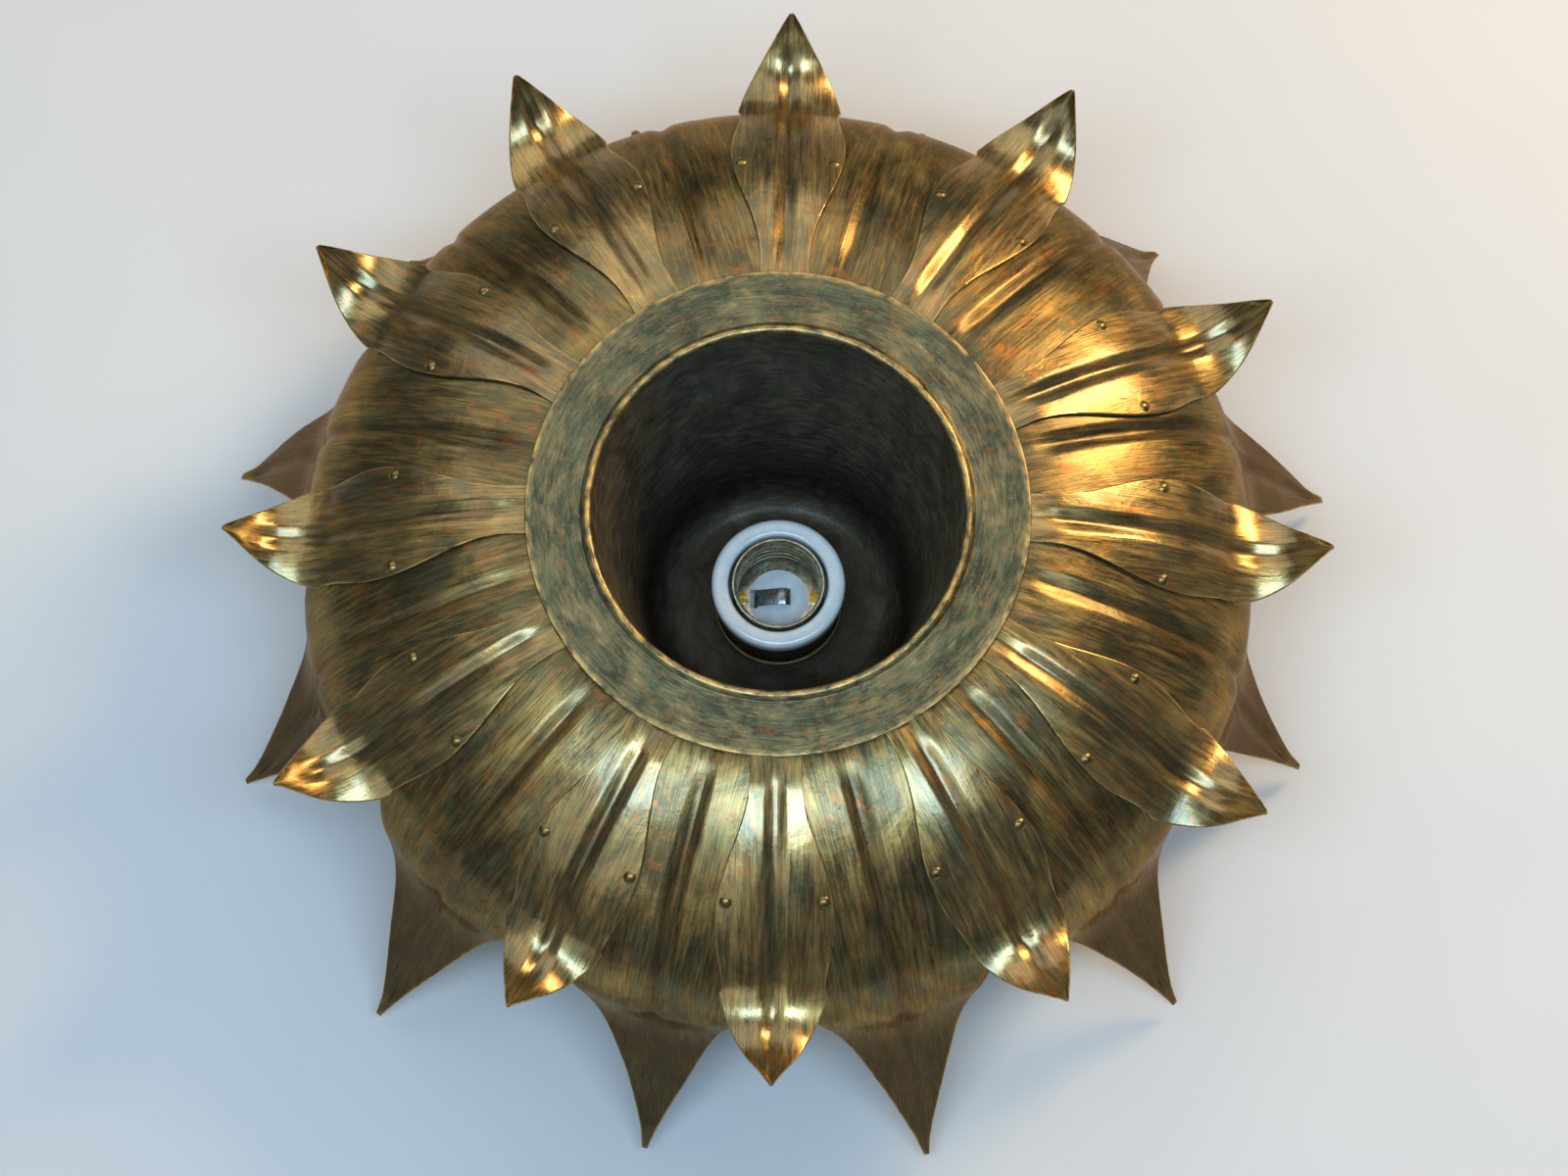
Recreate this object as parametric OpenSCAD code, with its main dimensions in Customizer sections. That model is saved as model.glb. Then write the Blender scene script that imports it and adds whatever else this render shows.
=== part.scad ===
// Sunflower flush lamp: two layers of sheet petals round a deep cup with an E27 lampholder.
// Origin: centre of the face that lies on the wall. +Z is the way the light comes out.

/* [Flower] */
// Height of the trim ring's face above the wall
rim_h = 130; // [128:1:136]
// Radius of the trim ring's outer edge
ring_r = 71.4; // [70:0.2:73]
// Radius of the rolled bead's centre line at the trim ring's inner edge
bead_ring_r = 53.9; // [53:0.1:55]
// Radius of the bead's wire
bead_r = 1.3; // [1:0.1:1.5]
// Thickness of the sheet that petals, ring and cup are made from
sheet_t = 0.8; // [0.6:0.1:0.8]
// Petals in each of the two layers
petal_count = 12; // [12:12]
// Turn of the first front petal from straight up, clockwise
front_phase = 1.8; // [-3:0.1:3]
// Turn of the first back petal from straight up, clockwise
back_phase = 15.3; // [14:0.1:17]
// How far each front petal was set from its even place, in degrees
petal_lean = [0, 1, 3, 0, 0, -2, -1, -2.5, 0.5, -1, 1, -0.5]; // [-3:0.5:3]

/* [Petal shape] */
// Radius at which the petals' flat inner lands start
land_r = 64; // [63:0.5:65]
// Length of the gentle arch from the ring towards the shoulder
arch_len = 60; // [58:1:61]
// Bending radius of the shoulder of a back petal
belly_r = 36; // [35:0.5:37]
// Length of the straight end of a front petal, past its flare
front_tip_len = 11; // [9:0.2:12]
// Length of the straight end of a back petal, past its outward sweep
back_tip_len = 52.3; // [48:0.1:53]
// Widest half width of a front petal
front_half_w = 16.6; // [16:0.1:17.5]
// Half width of a front petal where its tip starts
front_tip_half_w = 14.4; // [13:0.2:15]
// Half width of a back petal where it parts from its neighbours
back_half_w = 31.5; // [30:0.5:33]
// Half width of a front petal at its inner end
front_root_half_w = 7; // [6.5:0.1:8]
// Distance of the petal rivets from the petal's middle, in degrees round the lamp
rivet_turn = 7.05; // [6.5:0.05:7.5]

/* [Cup] */
// Radius of the cup's mouth
cup_mouth_r = 53; // [52.6:0.1:53.2]
// Slope of the cup's wall from straight, in degrees
cup_taper = 8; // [6:0.5:9]
// Height of the cup's floor, inside
cup_floor_z = 24; // [24:0.5:26]
// Radius between the cup's wall and floor
cup_corner_r = 10; // [6:1:12]

/* [Lampholder] */
// Radius of the lamp thread's crests
thread_crest_r = 12.25; // [12.2:0.01:12.3]
// Depth of the lamp thread
thread_depth = 1.1; // [1:0.05:1.15]
// Distance between the thread's turns
thread_pitch = 3.62; // [3.6:0.01:3.64]
// Outer radius of the porcelain mouth
mouth_r = 20; // [19.5:0.1:20.5]
// Inner radius of the porcelain mouth
mouth_bore_r = 14.9; // [14.8:0.1:15]

/* [Wall mounting] */
// Outer radius of the canopy drum
drum_r = 51.8; // [51:0.1:53]
// Distance between the two wall screw slots
wall_screw_gap = 70; // [60:1:74]
// Half width of a wall screw slot
wall_slot_r = 2.5; // [2:0.1:3]
// End-to-end length of a wall screw slot
wall_slot_len = 10; // [8:0.5:12]
// Bore radius of the cable grommet
cable_r = 4; // [3:0.1:4.5]

/* [Hidden] */
$fn = 96;

// Colours
petal_gold = "#7d6a36";
back_gold = "#6b5a2e";
ring_gold = "#8a7a45";
cup_brown = "#3a3024";
brass = "#b08d3c";
dark_brass = "#5e4c26";
porcelain = "#f2f0ea";
steel = "#9a9c9e";
rubber = "#232323";

// Sheet stack under the trim ring, from the top down
ring_under_z = rim_h - sheet_t;
front_land_z = rim_h - 1.5;
back_land_z = front_land_z - sheet_t;
collar_top_z = back_land_z - sheet_t;
rim_flange_z = rim_h - 0.1 - bead_r;

// Largest turn between two points of a bend, in degrees
bend_step = 12;

// Path of a petal's outer face: pairs of length and turn in degrees, from the inner end outwards
land_len = 8;
ease_len = 3;
ease_turn = -8;
arch_turn = -36;
belly_turn = -46;
sweep_r = 50;
sweep_turn = 27;
flare_r = 17;
flare_turn = 87;
back_path = bend_path([land_r, back_land_z], 0, [
    [land_len, 0], [ease_len, ease_turn], [arch_len, arch_turn], [arc_len(belly_r, belly_turn), belly_turn],
    [arc_len(sweep_r, sweep_turn), sweep_turn], [back_tip_len, 0]
]);
front_path = bend_path([land_r, front_land_z], 0, [
    [land_len, 0], [ease_len + arc_len(sheet_t, ease_turn), ease_turn],
    [arch_len + arc_len(sheet_t, arch_turn), arch_turn],
    [arc_len(flare_r, flare_turn), flare_turn], [front_tip_len, 0]
]);
front_end = front_path[len(front_path) - 1];
back_end = back_path[len(back_path) - 1];
front_tip_r = front_end[0];
back_tip_z = back_end[1];
reach = back_end[0] + 5;
slack = 0.05;

// Where a back petal parts from its neighbours, and the radii at which a front petal's outline changes
parting_z = rim_h - 27;
front_wide_r = 117;
front_narrow_r = 76;
front_tip_start_r = 132;
blunt_w = 0.8;

// Roundness of the sides: 1 is straight, above 1 a front petal's tip swells and a back petal's sides hollow
front_tip_curve = 1.5;
back_side_curve = 1.2;

// Petal rivets, through a front petal and the back petal under it, on the middle flat of the arch
rivet_along = 0.86;
flat_index = 3;
flat_start = [front_path[flat_index][0], front_path[flat_index][1]];
flat_end = [front_path[flat_index + 1][0], front_path[flat_index + 1][1]];
rivet_spot = flat_start + rivet_along * (flat_end - flat_start);
rivet_tilt = atan2(flat_start[1] - flat_end[1], flat_end[0] - flat_start[0]);
rivet_r = 1.2;
rivet_head_r = 2;
rivet_head_h = 0.7;
land_rivet_r = land_r + 4.6;

// Cup
cup_wall_len = (rim_flange_z - cup_floor_z - cup_corner_r * (1 - sin(cup_taper))) / cos(cup_taper);
cup_path_top = bend_path([cup_mouth_r, rim_flange_z], -90 - cup_taper, [
    [cup_wall_len, 0], [arc_len(cup_corner_r, 90 - cup_taper), cup_taper - 90]
]);
cup_flange_r = 60;
collar_skirt_r = 54.4;
collar_skirt_h = 9;
collar_r = ring_r;

// Clamp stack on the nipple, from the cup's floor down
nipple_r = 5;
nipple_bore_r = 3.4;
nipple_hole_r = nipple_r + 0.2;
drum_top_z = cup_floor_z - sheet_t;
drum_face_z = drum_top_z - sheet_t;
washer_r = 9;
washer_t = 1.2;
nut_h = 4;
nut_flat = 14;
washer_z = drum_face_z - washer_t;
nut_z = washer_z - nut_h;
nipple_z = nut_z - 1.2;
nipple_len = 14;

// Lampholder heights, from the cup's floor up
cap_ledge_z = cup_floor_z + 9;
cap_top_z = cup_floor_z + 12;
cap_bead_z = cup_floor_z + 7.5;
cap_r = 17.6;
cap_bead_r = 1.2;
base_h = 4.2;
base_top_z = cap_ledge_z + base_h;
shell_r = 18.6;
shell_z = cap_bead_z + cap_bead_r + 0.4;
flange_z = cup_floor_z + 26;
mouth_z = cup_floor_z + 31;
mouth_body_r = cap_r - 0.3;
mouth_round = 1.6;
thread_t = 0.4;
thread_turns = 4;
thread_land = 1;
thread_z = base_top_z + 4;
thread_hole_r = 9;

// Centre contact tongue
tongue_w = 5;
tongue_t = 0.5;
tongue_x = -7;
tongue_leg = 2.6;
tongue_curl_r = 0.6;
tongue_rise = 2.8;
tongue_len = 7.4;
tongue_slot_w = 2.2;
contact_screw_x = 11;
contact_screw_r = 1;
contact_head_r = 1.8;

// Wall plate and drum
plate_t = 1.5;
rim_wall_r = 50.2;
rim_wall_t = 1.2;
rim_wall_h = 13;
drum_t = 1;
drum_gap_z = 0.6;
screw_z = 7;
screw_r = 2;
screw_slot_r = 2.4;
boss_r = 4;
boss_in_r = 44;
thumb_head_r = 5;
thumb_head_len = 6;
knurl_count = 16;
knurl_r = 0.6;
thumb_turns = [90, 210, 330];
grommet_y = -18;
grommet_neck_r = 6;
grommet_flange_r = 8;
grommet_h = 3;

// Terminal block inside the drum
wire_r = 1;
wire_x = 1.5;
wire_z = 12.5;
wire_top_z = nipple_z + nipple_len + wire_r + 0.3;
block_y = 22;
block_w = 24;
block_d = 16;
block_z = 8.4;
pole_gap = 8;
sleeve_r = 2.2;
sleeve_bore_r = 1.6;
terminal_screw_r = 1.3;
terminal_screw_y = 4.5;
block_screw_r = 1.5;
block_screw_x = 4;
earth_x = 0;
earth_y = 14;

// Length of an arc of radius r that turns by turn degrees
function arc_len(r, turn) = r * abs(turn) * PI / 180;

// Point a fraction f along an arc of length len that starts at p with heading h and turns by turn degrees
function arc_point(p, h, len, turn, f) =
    turn == 0 ? p + f * len * [cos(h), sin(h)]
    : p + len / (turn * PI / 180) * [sin(h + f * turn) - sin(h), cos(h) - cos(h + f * turn)];

// Points [x, y, heading] along a chain of segments, each a pair of length and turn
function bend_path(p, h, segments, k = 0) =
    k == len(segments) ? [[p[0], p[1], h]]
    : let (
        length = segments[k][0],
        turn = segments[k][1],
        steps = max(1, ceil(abs(turn) / bend_step))
    ) concat(
        [for (i = [0:steps - 1]) concat(arc_point(p, h, length, turn, i / steps), [h + turn * i / steps])],
        bend_path(arc_point(p, h, length, turn, 1), h + turn, segments, k + 1)
    );

// The same points moved by d to the left of the way they run
function side_path(path, d) = [for (q = path) [q[0] - d * sin(q[2]), q[1] + d * cos(q[2])]];
function flat_path(path) = [for (q = path) [q[0], q[1]]];
function backwards(list) = [for (i = [len(list) - 1:-1:0]) list[i]];
function mirrored(list) = [for (q = backwards(list)) [q[0], -q[1]]];

// Smooth step from a to b as t goes from 0 to 1
function ease(a, b, t) = a + (b - a) * (1 - cos(180 * min(1, max(0, t)))) / 2;

// Clockwise angle of front petal k and back petal k from straight up
function front_angle(k) = front_phase + k * 360 / petal_count + petal_lean[k % petal_count];
function back_angle(k) = back_phase + k * 360 / petal_count;

// How far along a front petal's tip the radius r is, from 0 to 1
function tip_share(r) = (r - front_tip_start_r) / (front_tip_r - front_tip_start_r);

// Half width of a front petal at radius r
function front_half(r) =
    r < front_wide_r
    ? ease(front_root_half_w, front_half_w, (r - front_narrow_r) / (front_wide_r - front_narrow_r))
    : r < front_tip_start_r
    ? ease(front_half_w, front_tip_half_w, (r - front_wide_r) / (front_tip_start_r - front_wide_r))
    : front_tip_half_w * (1 - pow(tip_share(r), front_tip_curve)) + blunt_w;

// Half width of a back petal at height z, before its share of the circle limits it
function back_half(z) = back_half_w * pow((z - back_tip_z) / (parting_z - back_tip_z), back_side_curve) + blunt_w;

// Sheet of thickness t that follows a path, on its right-hand side when t is negative
module sheet_profile(path, t) {
    polygon(concat(flat_path(path), backwards(side_path(path, t))));
}

// Places children at a clockwise angle from straight up; children are drawn along +X
module at_clock(angle) {
    rotate([0, 0, 90 - angle])
        children();
}

module petal_shell(path) {
    half_turn = 14.7;
    rotate_extrude(angle = 2 * half_turn, start = -half_turn)
        sheet_profile(path, -sheet_t);
}

// Hole or shank of a petal rivet, square to the sheet, on the +X side
module rivet_axis() {
    translate([rivet_spot[0], 0, rivet_spot[1]])
        rotate([0, rivet_tilt, 0])
            children();
}

module rivet_drill() {
    rivet_axis()
        translate([0, 0, -5])
            cylinder(h = 10, r = rivet_r + slack, $fn = 24);
}

module land_drill() {
    translate([land_rivet_r, 0, collar_top_z - 5])
        cylinder(h = 10, r = rivet_r + slack, $fn = 24);
}

module front_petal(k) {
    step = 2.5;
    side = [for (r = [land_r - 1:step:front_tip_r]) [r, front_half(r)]];
    all_side = concat(side, [[front_tip_r + 1, blunt_w]]);
    outline = concat(all_side, mirrored(all_side));
    color(petal_gold)
        at_clock(front_angle(k))
            difference() {
                intersection() {
                    petal_shell(front_path);
                    linear_extrude(height = rim_h + 10)
                        polygon(outline);
                }
                land_drill();
                for (turn = [-rivet_turn, rivet_turn])
                    rotate([0, 0, turn])
                        rivet_drill();
            }
}

module back_petal(k) {
    step = 6;
    side = [for (z = [back_tip_z:step:back_land_z + 1]) [z, back_half(z)]];
    all_side = concat([[back_tip_z - 1, blunt_w]], side, [[rim_h, back_half(rim_h)]]);
    outline = concat(all_side, mirrored(all_side));
    next_angle = k == petal_count - 1 ? front_angle(0) + 360 : front_angle(k + 1);
    before = back_angle(k) - front_angle(k);
    after = back_angle(k) - next_angle;
    color(back_gold)
        at_clock(back_angle(k))
            difference() {
                intersection() {
                    petal_shell(back_path);
                    translate([reach, 0, 0])
                        rotate([0, -90, 0])
                            linear_extrude(height = reach)
                                polygon(outline);
                }
                for (turn = [before, 0, after])
                    rotate([0, 0, turn])
                        land_drill();
                for (turn = [before - rivet_turn, after + rivet_turn])
                    rotate([0, 0, turn])
                        rivet_drill();
            }
}

// Domed head above the sheet, shank through it and flat head below
module rivet(grip) {
    dome_r = 3.2;
    dome_drop = sqrt(dome_r * dome_r - rivet_head_r * rivet_head_r);
    intersection() {
        translate([0, 0, slack - dome_drop])
            sphere(r = dome_r, $fn = 32);
        translate([0, 0, slack])
            cylinder(h = dome_r, r = rivet_head_r + 1, $fn = 24);
    }
    translate([0, 0, -grip - slack])
        cylinder(h = grip + 2 * slack, r = rivet_r, $fn = 24);
    translate([0, 0, -grip - rivet_head_h - 2 * slack])
        cylinder(h = rivet_head_h, r = rivet_head_r, $fn = 24);
}

module petal_rivets() {
    color(brass)
        for (k = [0:petal_count - 1])
            at_clock(front_angle(k))
                for (turn = [-rivet_turn, rivet_turn])
                    rotate([0, 0, turn])
                        rivet_axis()
                            rivet(2 * sheet_t);
}

// Flat rivet from the land of a petal, whose top is at height z, to under the collar
module land_rivet(z) {
    head_h = 0.5;
    translate([land_rivet_r, 0, 0]) {
        translate([0, 0, z])
            cylinder(h = head_h, r = rivet_head_r, $fn = 24);
        translate([0, 0, collar_top_z - sheet_t - slack])
            cylinder(h = z + slack - collar_top_z + sheet_t + slack, r = rivet_r, $fn = 24);
        translate([0, 0, collar_top_z - sheet_t - slack - head_h])
            cylinder(h = head_h, r = rivet_head_r, $fn = 24);
    }
}

module collar_rivets() {
    color(dark_brass)
        for (k = [0:petal_count - 1]) {
            at_clock(front_angle(k))
                land_rivet(front_land_z);
            at_clock(back_angle(k))
                land_rivet(back_land_z);
        }
}

// Angle ring round the cup: the flat carries the petals and the skirt is soldered to the cup
module petal_collar() {
    skirt_top_z = collar_top_z - sheet_t / 2;
    color(dark_brass)
        difference() {
            union() {
                translate([0, 0, collar_top_z - sheet_t])
                    cylinder(h = sheet_t, r = collar_r);
                translate([0, 0, skirt_top_z - collar_skirt_h])
                    cylinder(h = collar_skirt_h, r = collar_skirt_r + sheet_t);
            }
            translate([0, 0, collar_top_z - 2 * collar_skirt_h])
                cylinder(h = 3 * collar_skirt_h, r = collar_skirt_r);
            for (k = [0:petal_count - 1]) {
                at_clock(front_angle(k))
                    land_drill();
                at_clock(back_angle(k))
                    land_drill();
            }
        }
}

// Flat ring with a bead rolled round a wire at its inner edge and a short turned-down outer edge
module trim_ring() {
    edge_drop = 0.6;
    color(ring_gold)
        union() {
            difference() {
                translate([0, 0, ring_under_z - edge_drop])
                    cylinder(h = sheet_t + edge_drop, r = ring_r);
                translate([0, 0, ring_under_z - edge_drop - 1])
                    cylinder(h = edge_drop + 1, r = ring_r - sheet_t);
                translate([0, 0, ring_under_z - 5])
                    cylinder(h = 10, r = bead_ring_r);
            }
            rotate_extrude()
                translate([bead_ring_r, rim_h - 0.1])
                    circle(r = bead_r, $fn = 32);
        }
}

module cup() {
    wall = concat(cup_path_top, [[nipple_hole_r, cup_floor_z, -180]]);
    color(cup_brown) {
        rotate_extrude()
            sheet_profile(wall, sheet_t);
        difference() {
            translate([0, 0, rim_flange_z - sheet_t])
                cylinder(h = sheet_t, r = cup_flange_r);
            translate([0, 0, rim_flange_z - 2 * sheet_t])
                cylinder(h = 4 * sheet_t, r = cup_mouth_r + sheet_t / 2);
        }
    }
}

// Hollow threaded tube that joins lampholder, cup and canopy
module nipple() {
    color(brass)
        translate([0, 0, nipple_z])
            difference() {
                cylinder(h = nipple_len, r = nipple_r);
                translate([0, 0, -1])
                    cylinder(h = nipple_len + 2, r = nipple_bore_r);
            }
}

module nipple_washer() {
    color(steel)
        translate([0, 0, washer_z])
            difference() {
                cylinder(h = washer_t, r = washer_r);
                translate([0, 0, -1])
                    cylinder(h = washer_t + 2, r = nipple_hole_r);
            }
}

module nipple_nut() {
    color(brass)
        translate([0, 0, nut_z])
            difference() {
                cylinder(h = nut_h, d = nut_flat / cos(30), $fn = 6);
                translate([0, 0, -1])
                    cylinder(h = nut_h + 2, r = nipple_r + slack);
            }
}

// Brass cup at the foot of the lampholder, with a bead round it and a ledge inside
module holder_cap() {
    neck_r = 12;
    wall_t = 1;
    ledge_w = 1;
    cone_z = cup_floor_z + 5.5;
    floor_t = 1.2;
    color(brass)
        union() {
            rotate_extrude()
                polygon([
                    [nipple_r + slack, cup_floor_z], [neck_r, cup_floor_z],
                    [cap_r, cone_z], [cap_r, cap_top_z],
                    [cap_r - wall_t, cap_top_z], [cap_r - wall_t, cap_ledge_z],
                    [cap_r - wall_t - ledge_w, cap_ledge_z], [cap_r - wall_t - ledge_w, cone_z + 0.5],
                    [neck_r - ledge_w, cup_floor_z + floor_t], [nipple_r + slack, cup_floor_z + floor_t]
                ]);
            rotate_extrude()
                translate([cap_r + 0.3, cap_bead_z])
                    circle(r = cap_bead_r, $fn = 32);
        }
}

module holder_shell() {
    color(dark_brass)
        translate([0, 0, shell_z])
            difference() {
                cylinder(h = flange_z - shell_z, r = shell_r);
                translate([0, 0, -1])
                    cylinder(h = flange_z - shell_z + 2, r = cap_r + slack);
            }
}

// Glazed ring at the mouth of the lampholder, with a body that stands in the holder shell
module porcelain_mouth() {
    color(porcelain)
        difference() {
            union() {
                translate([0, 0, base_top_z])
                    cylinder(h = mouth_z - base_top_z - 1, r = mouth_body_r);
                rotate_extrude() {
                    translate([0, flange_z])
                        square([mouth_r, mouth_z - flange_z - mouth_round]);
                    translate([0, flange_z + 1])
                        square([mouth_r - mouth_round, mouth_z - flange_z - 1]);
                    translate([mouth_r - mouth_round, mouth_z - mouth_round])
                        circle(r = mouth_round, $fn = 48);
                }
            }
            translate([0, 0, base_top_z - 1])
                cylinder(h = mouth_z, r = mouth_bore_r);
        }
}

// Rolled sheet shell whose inward folds grip the thread of a lamp cap
module thread_shell() {
    crest = thread_crest_r;
    root = thread_crest_r + thread_depth;
    half_land = thread_land / 2;
    slope = thread_pitch / 2 - thread_land;
    folds = [for (k = [0:thread_turns - 1]) let (z = thread_z + k * thread_pitch) each [
        [root, z - half_land - slope], [crest, z - half_land],
        [crest, z + half_land], [root, z + half_land + slope]
    ]];
    bottom_z = base_top_z + thread_t;
    top_z = thread_z + thread_turns * thread_pitch - thread_pitch / 2 + 0.6;
    inner = concat([[thread_hole_r, bottom_z], [root, bottom_z]], folds, [[root, top_z]]);
    outer = concat(
        [[root + thread_t, top_z]],
        backwards([for (q = folds) [q[0] + thread_t, q[1]]]),
        [[root + thread_t, base_top_z], [thread_hole_r, base_top_z]]
    );
    color(brass)
        difference() {
            rotate_extrude()
                polygon(concat(inner, outer));
            for (side = [-1, 1])
                translate([side * contact_screw_x, 0, base_top_z - 1])
                    cylinder(h = thread_t + 2, r = contact_screw_r + slack, $fn = 24);
        }
}

// Ceramic disc under the thread shell, with the slot that holds the tongue's leg
module contact_base() {
    color(porcelain)
        difference() {
            translate([0, 0, cap_ledge_z])
                cylinder(h = base_h, r = cap_r - 1.2);
            translate([tongue_x - tongue_slot_w / 2 - 0.4, -tongue_w / 2 - 0.4, base_top_z - tongue_leg - 1])
                cube([tongue_slot_w, tongue_w + 0.8, tongue_leg + 2]);
            for (side = [-1, 1])
                translate([side * contact_screw_x, 0, cap_ledge_z - 1])
                    cylinder(h = base_h + 2, r = contact_screw_r + slack, $fn = 24);
        }
}

// Springy strip: a leg in the base's slot, a rolled root, an arm that rises and a tip that curls down
module centre_contact() {
    arm_z = base_top_z + 0.4;
    tip_x = tongue_x + tongue_len;
    tip_z = arm_z + tongue_rise;
    color(brass)
        translate([0, tongue_w / 2, 0])
            rotate([90, 0, 0])
                union() {
                    translate([tongue_x, arm_z])
                        cylinder(h = tongue_w, r = tongue_curl_r, $fn = 24);
                    linear_extrude(height = tongue_w)
                        polygon([
                            [tongue_x - tongue_t / 2, base_top_z - tongue_leg],
                            [tongue_x + tongue_t / 2, base_top_z - tongue_leg],
                            [tongue_x + tongue_t / 2, arm_z],
                            [tip_x, tip_z - tongue_t],
                            [tip_x + 2, tip_z - tongue_t],
                            [tip_x + 3.2, tip_z - 1.4],
                            [tip_x + 3.6, tip_z - 1.1],
                            [tip_x + 2.2, tip_z],
                            [tip_x - 0.1, tip_z],
                            [tongue_x - tongue_t / 2, arm_z + tongue_t]
                        ]);
                }
}

// Slotted brass screws that hold the thread shell and take the wires under the base
module contact_screws() {
    head_h = 1.3;
    head_z = base_top_z + thread_t;
    color(brass)
        for (side = [-1, 1])
            translate([side * contact_screw_x, 0, 0])
                difference() {
                    union() {
                        translate([0, 0, head_z])
                            cylinder(h = head_h, r = contact_head_r, $fn = 32);
                        translate([0, 0, cap_ledge_z - 3])
                            cylinder(h = head_z - cap_ledge_z + 3 + head_h / 2, r = contact_screw_r, $fn = 24);
                    }
                    translate([-contact_head_r - 1, -0.2, head_z + head_h - 0.6])
                        cube([2 * contact_head_r + 2, 0.4, 1]);
                }
}

// Insulated wire through a list of points; each stretch runs a little past its inner ends
module wire(points) {
    last = len(points) - 2;
    lap = wire_r / 2;
    for (i = [0:last]) {
        way = points[i + 1] - points[i];
        length = norm(way);
        before = i == 0 ? 0 : lap;
        after = i == last ? 0 : lap;
        translate(points[i])
            rotate([0, acos(way[2] / length), atan2(way[1], way[0])])
                translate([0, 0, -before])
                    cylinder(h = length + before + after, r = wire_r, $fn = 12);
    }
}

// Route of a supply wire on one side: contact screw, nipple, terminal block
function supply_route(side) = [
    [side * (contact_screw_x - contact_screw_r), 0, wire_top_z],
    [side * wire_x, 0, wire_top_z],
    [side * wire_x, 0, wire_z],
    [side * wire_x, 5, wire_z],
    [side * pole_gap, block_y - 5, wire_z],
    [side * pole_gap, block_y + 5, wire_z]
];

module live_wire() {
    color("saddlebrown")
        wire(supply_route(-1));
}

module neutral_wire() {
    color("steelblue")
        wire(supply_route(1));
}

module earth_wire() {
    color("yellowgreen")
        wire([
            [earth_x, earth_y + 4, drum_face_z - wire_r - slack],
            [earth_x, earth_y + 6.5, drum_face_z - wire_r - slack],
            [0, block_y - 1.5, wire_z + 2.5],
            [0, block_y - 1.5, wire_z],
            [0, block_y + 5, wire_z]
        ]);
}

module terminal_block() {
    top_z = drum_face_z;
    color("ivory")
        difference() {
            translate([-block_w / 2, block_y, block_z])
                cube([block_w, block_d, top_z - block_z]);
            for (side = [-1:1])
                translate([side * pole_gap, 0, wire_z]) {
                    translate([0, block_y - 1, 0])
                        rotate([-90, 0, 0])
                            cylinder(h = block_d + 2, r = sleeve_r, $fn = 32);
                    for (end = [-1, 1])
                        translate([0, block_y + block_d / 2 + end * terminal_screw_y, 0])
                            rotate([180, 0, 0])
                                cylinder(h = 20, r = terminal_screw_r + 0.3, $fn = 24);
                }
            translate([block_screw_x, block_y + block_d / 2, block_z - 1])
                cylinder(h = 30, r = block_screw_r + slack, $fn = 24);
        }
}

module terminal_sleeves() {
    color(brass)
        for (side = [-1:1])
            translate([side * pole_gap, block_y + 1, wire_z])
                difference() {
                    rotate([-90, 0, 0])
                        cylinder(h = block_d - 2, r = sleeve_r - slack, $fn = 32);
                    translate([0, -1, 0])
                        rotate([-90, 0, 0])
                            cylinder(h = block_d, r = sleeve_bore_r, $fn = 32);
                    for (end = [-1, 1])
                        translate([0, block_d / 2 - 1 + end * terminal_screw_y, 0])
                            rotate([180, 0, 0])
                                cylinder(h = 5, r = terminal_screw_r + slack, $fn = 24);
                }
}

module terminal_screws() {
    color(steel)
        for (side = [-1:1])
            for (end = [-1, 1])
                translate([side * pole_gap, block_y + block_d / 2 + end * terminal_screw_y, block_z + 1])
                    difference() {
                        cylinder(h = wire_z - wire_r - block_z - 1 - slack, r = terminal_screw_r, $fn = 24);
                        translate([-2, -0.2, -1])
                            cube([4, 0.4, 1.6]);
                    }
}

module block_screw() {
    head_h = 1.4;
    color(steel)
        translate([block_screw_x, block_y + block_d / 2, block_z]) {
            translate([0, 0, -head_h])
                cylinder(h = head_h, r = 2.2, $fn = 32);
            translate([0, 0, -head_h / 2])
                cylinder(h = drum_top_z - block_z + head_h / 2 - slack, r = block_screw_r, $fn = 24);
        }
}

module earth_screw() {
    head_h = 1.6;
    tag_t = 0.6;
    color(brass)
        translate([earth_x, earth_y, drum_face_z]) {
            translate([0, 0, -tag_t - head_h])
                cylinder(h = head_h, r = 2.6, $fn = 32);
            translate([0, 0, -tag_t])
                cylinder(h = tag_t, r = 3.2, $fn = 32);
            translate([0, 0, -tag_t / 2])
                cylinder(h = sheet_t + tag_t / 2 - slack, r = block_screw_r, $fn = 24);
        }
}

// Shallow drum at the back; three slots open to the wall straddle the thumbscrews
module canopy_drum() {
    drum_h = drum_top_z - drum_gap_z;
    color(dark_brass)
        difference() {
            translate([0, 0, drum_gap_z])
                cylinder(h = drum_h, r = drum_r);
            translate([0, 0, drum_gap_z - 1])
                cylinder(h = drum_h + 1 - sheet_t, r = drum_r - drum_t);
            translate([0, 0, drum_face_z - 1])
                cylinder(h = sheet_t + 2, r = nipple_hole_r);
            translate([block_screw_x, block_y + block_d / 2, drum_face_z - 1])
                cylinder(h = sheet_t + 2, r = block_screw_r + slack, $fn = 24);
            translate([earth_x, earth_y, drum_face_z - 1])
                cylinder(h = sheet_t + 2, r = block_screw_r + slack, $fn = 24);
            for (turn = thumb_turns)
                rotate([0, 0, turn]) {
                    translate([drum_r - drum_t - 2, 0, screw_z])
                        rotate([0, 90, 0])
                            cylinder(h = drum_t + 4, r = screw_slot_r, $fn = 32);
                    translate([drum_r - drum_t - 2, -screw_slot_r, -1])
                        cube([drum_t + 4, 2 * screw_slot_r, screw_z + 1]);
                }
        }
}

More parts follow.
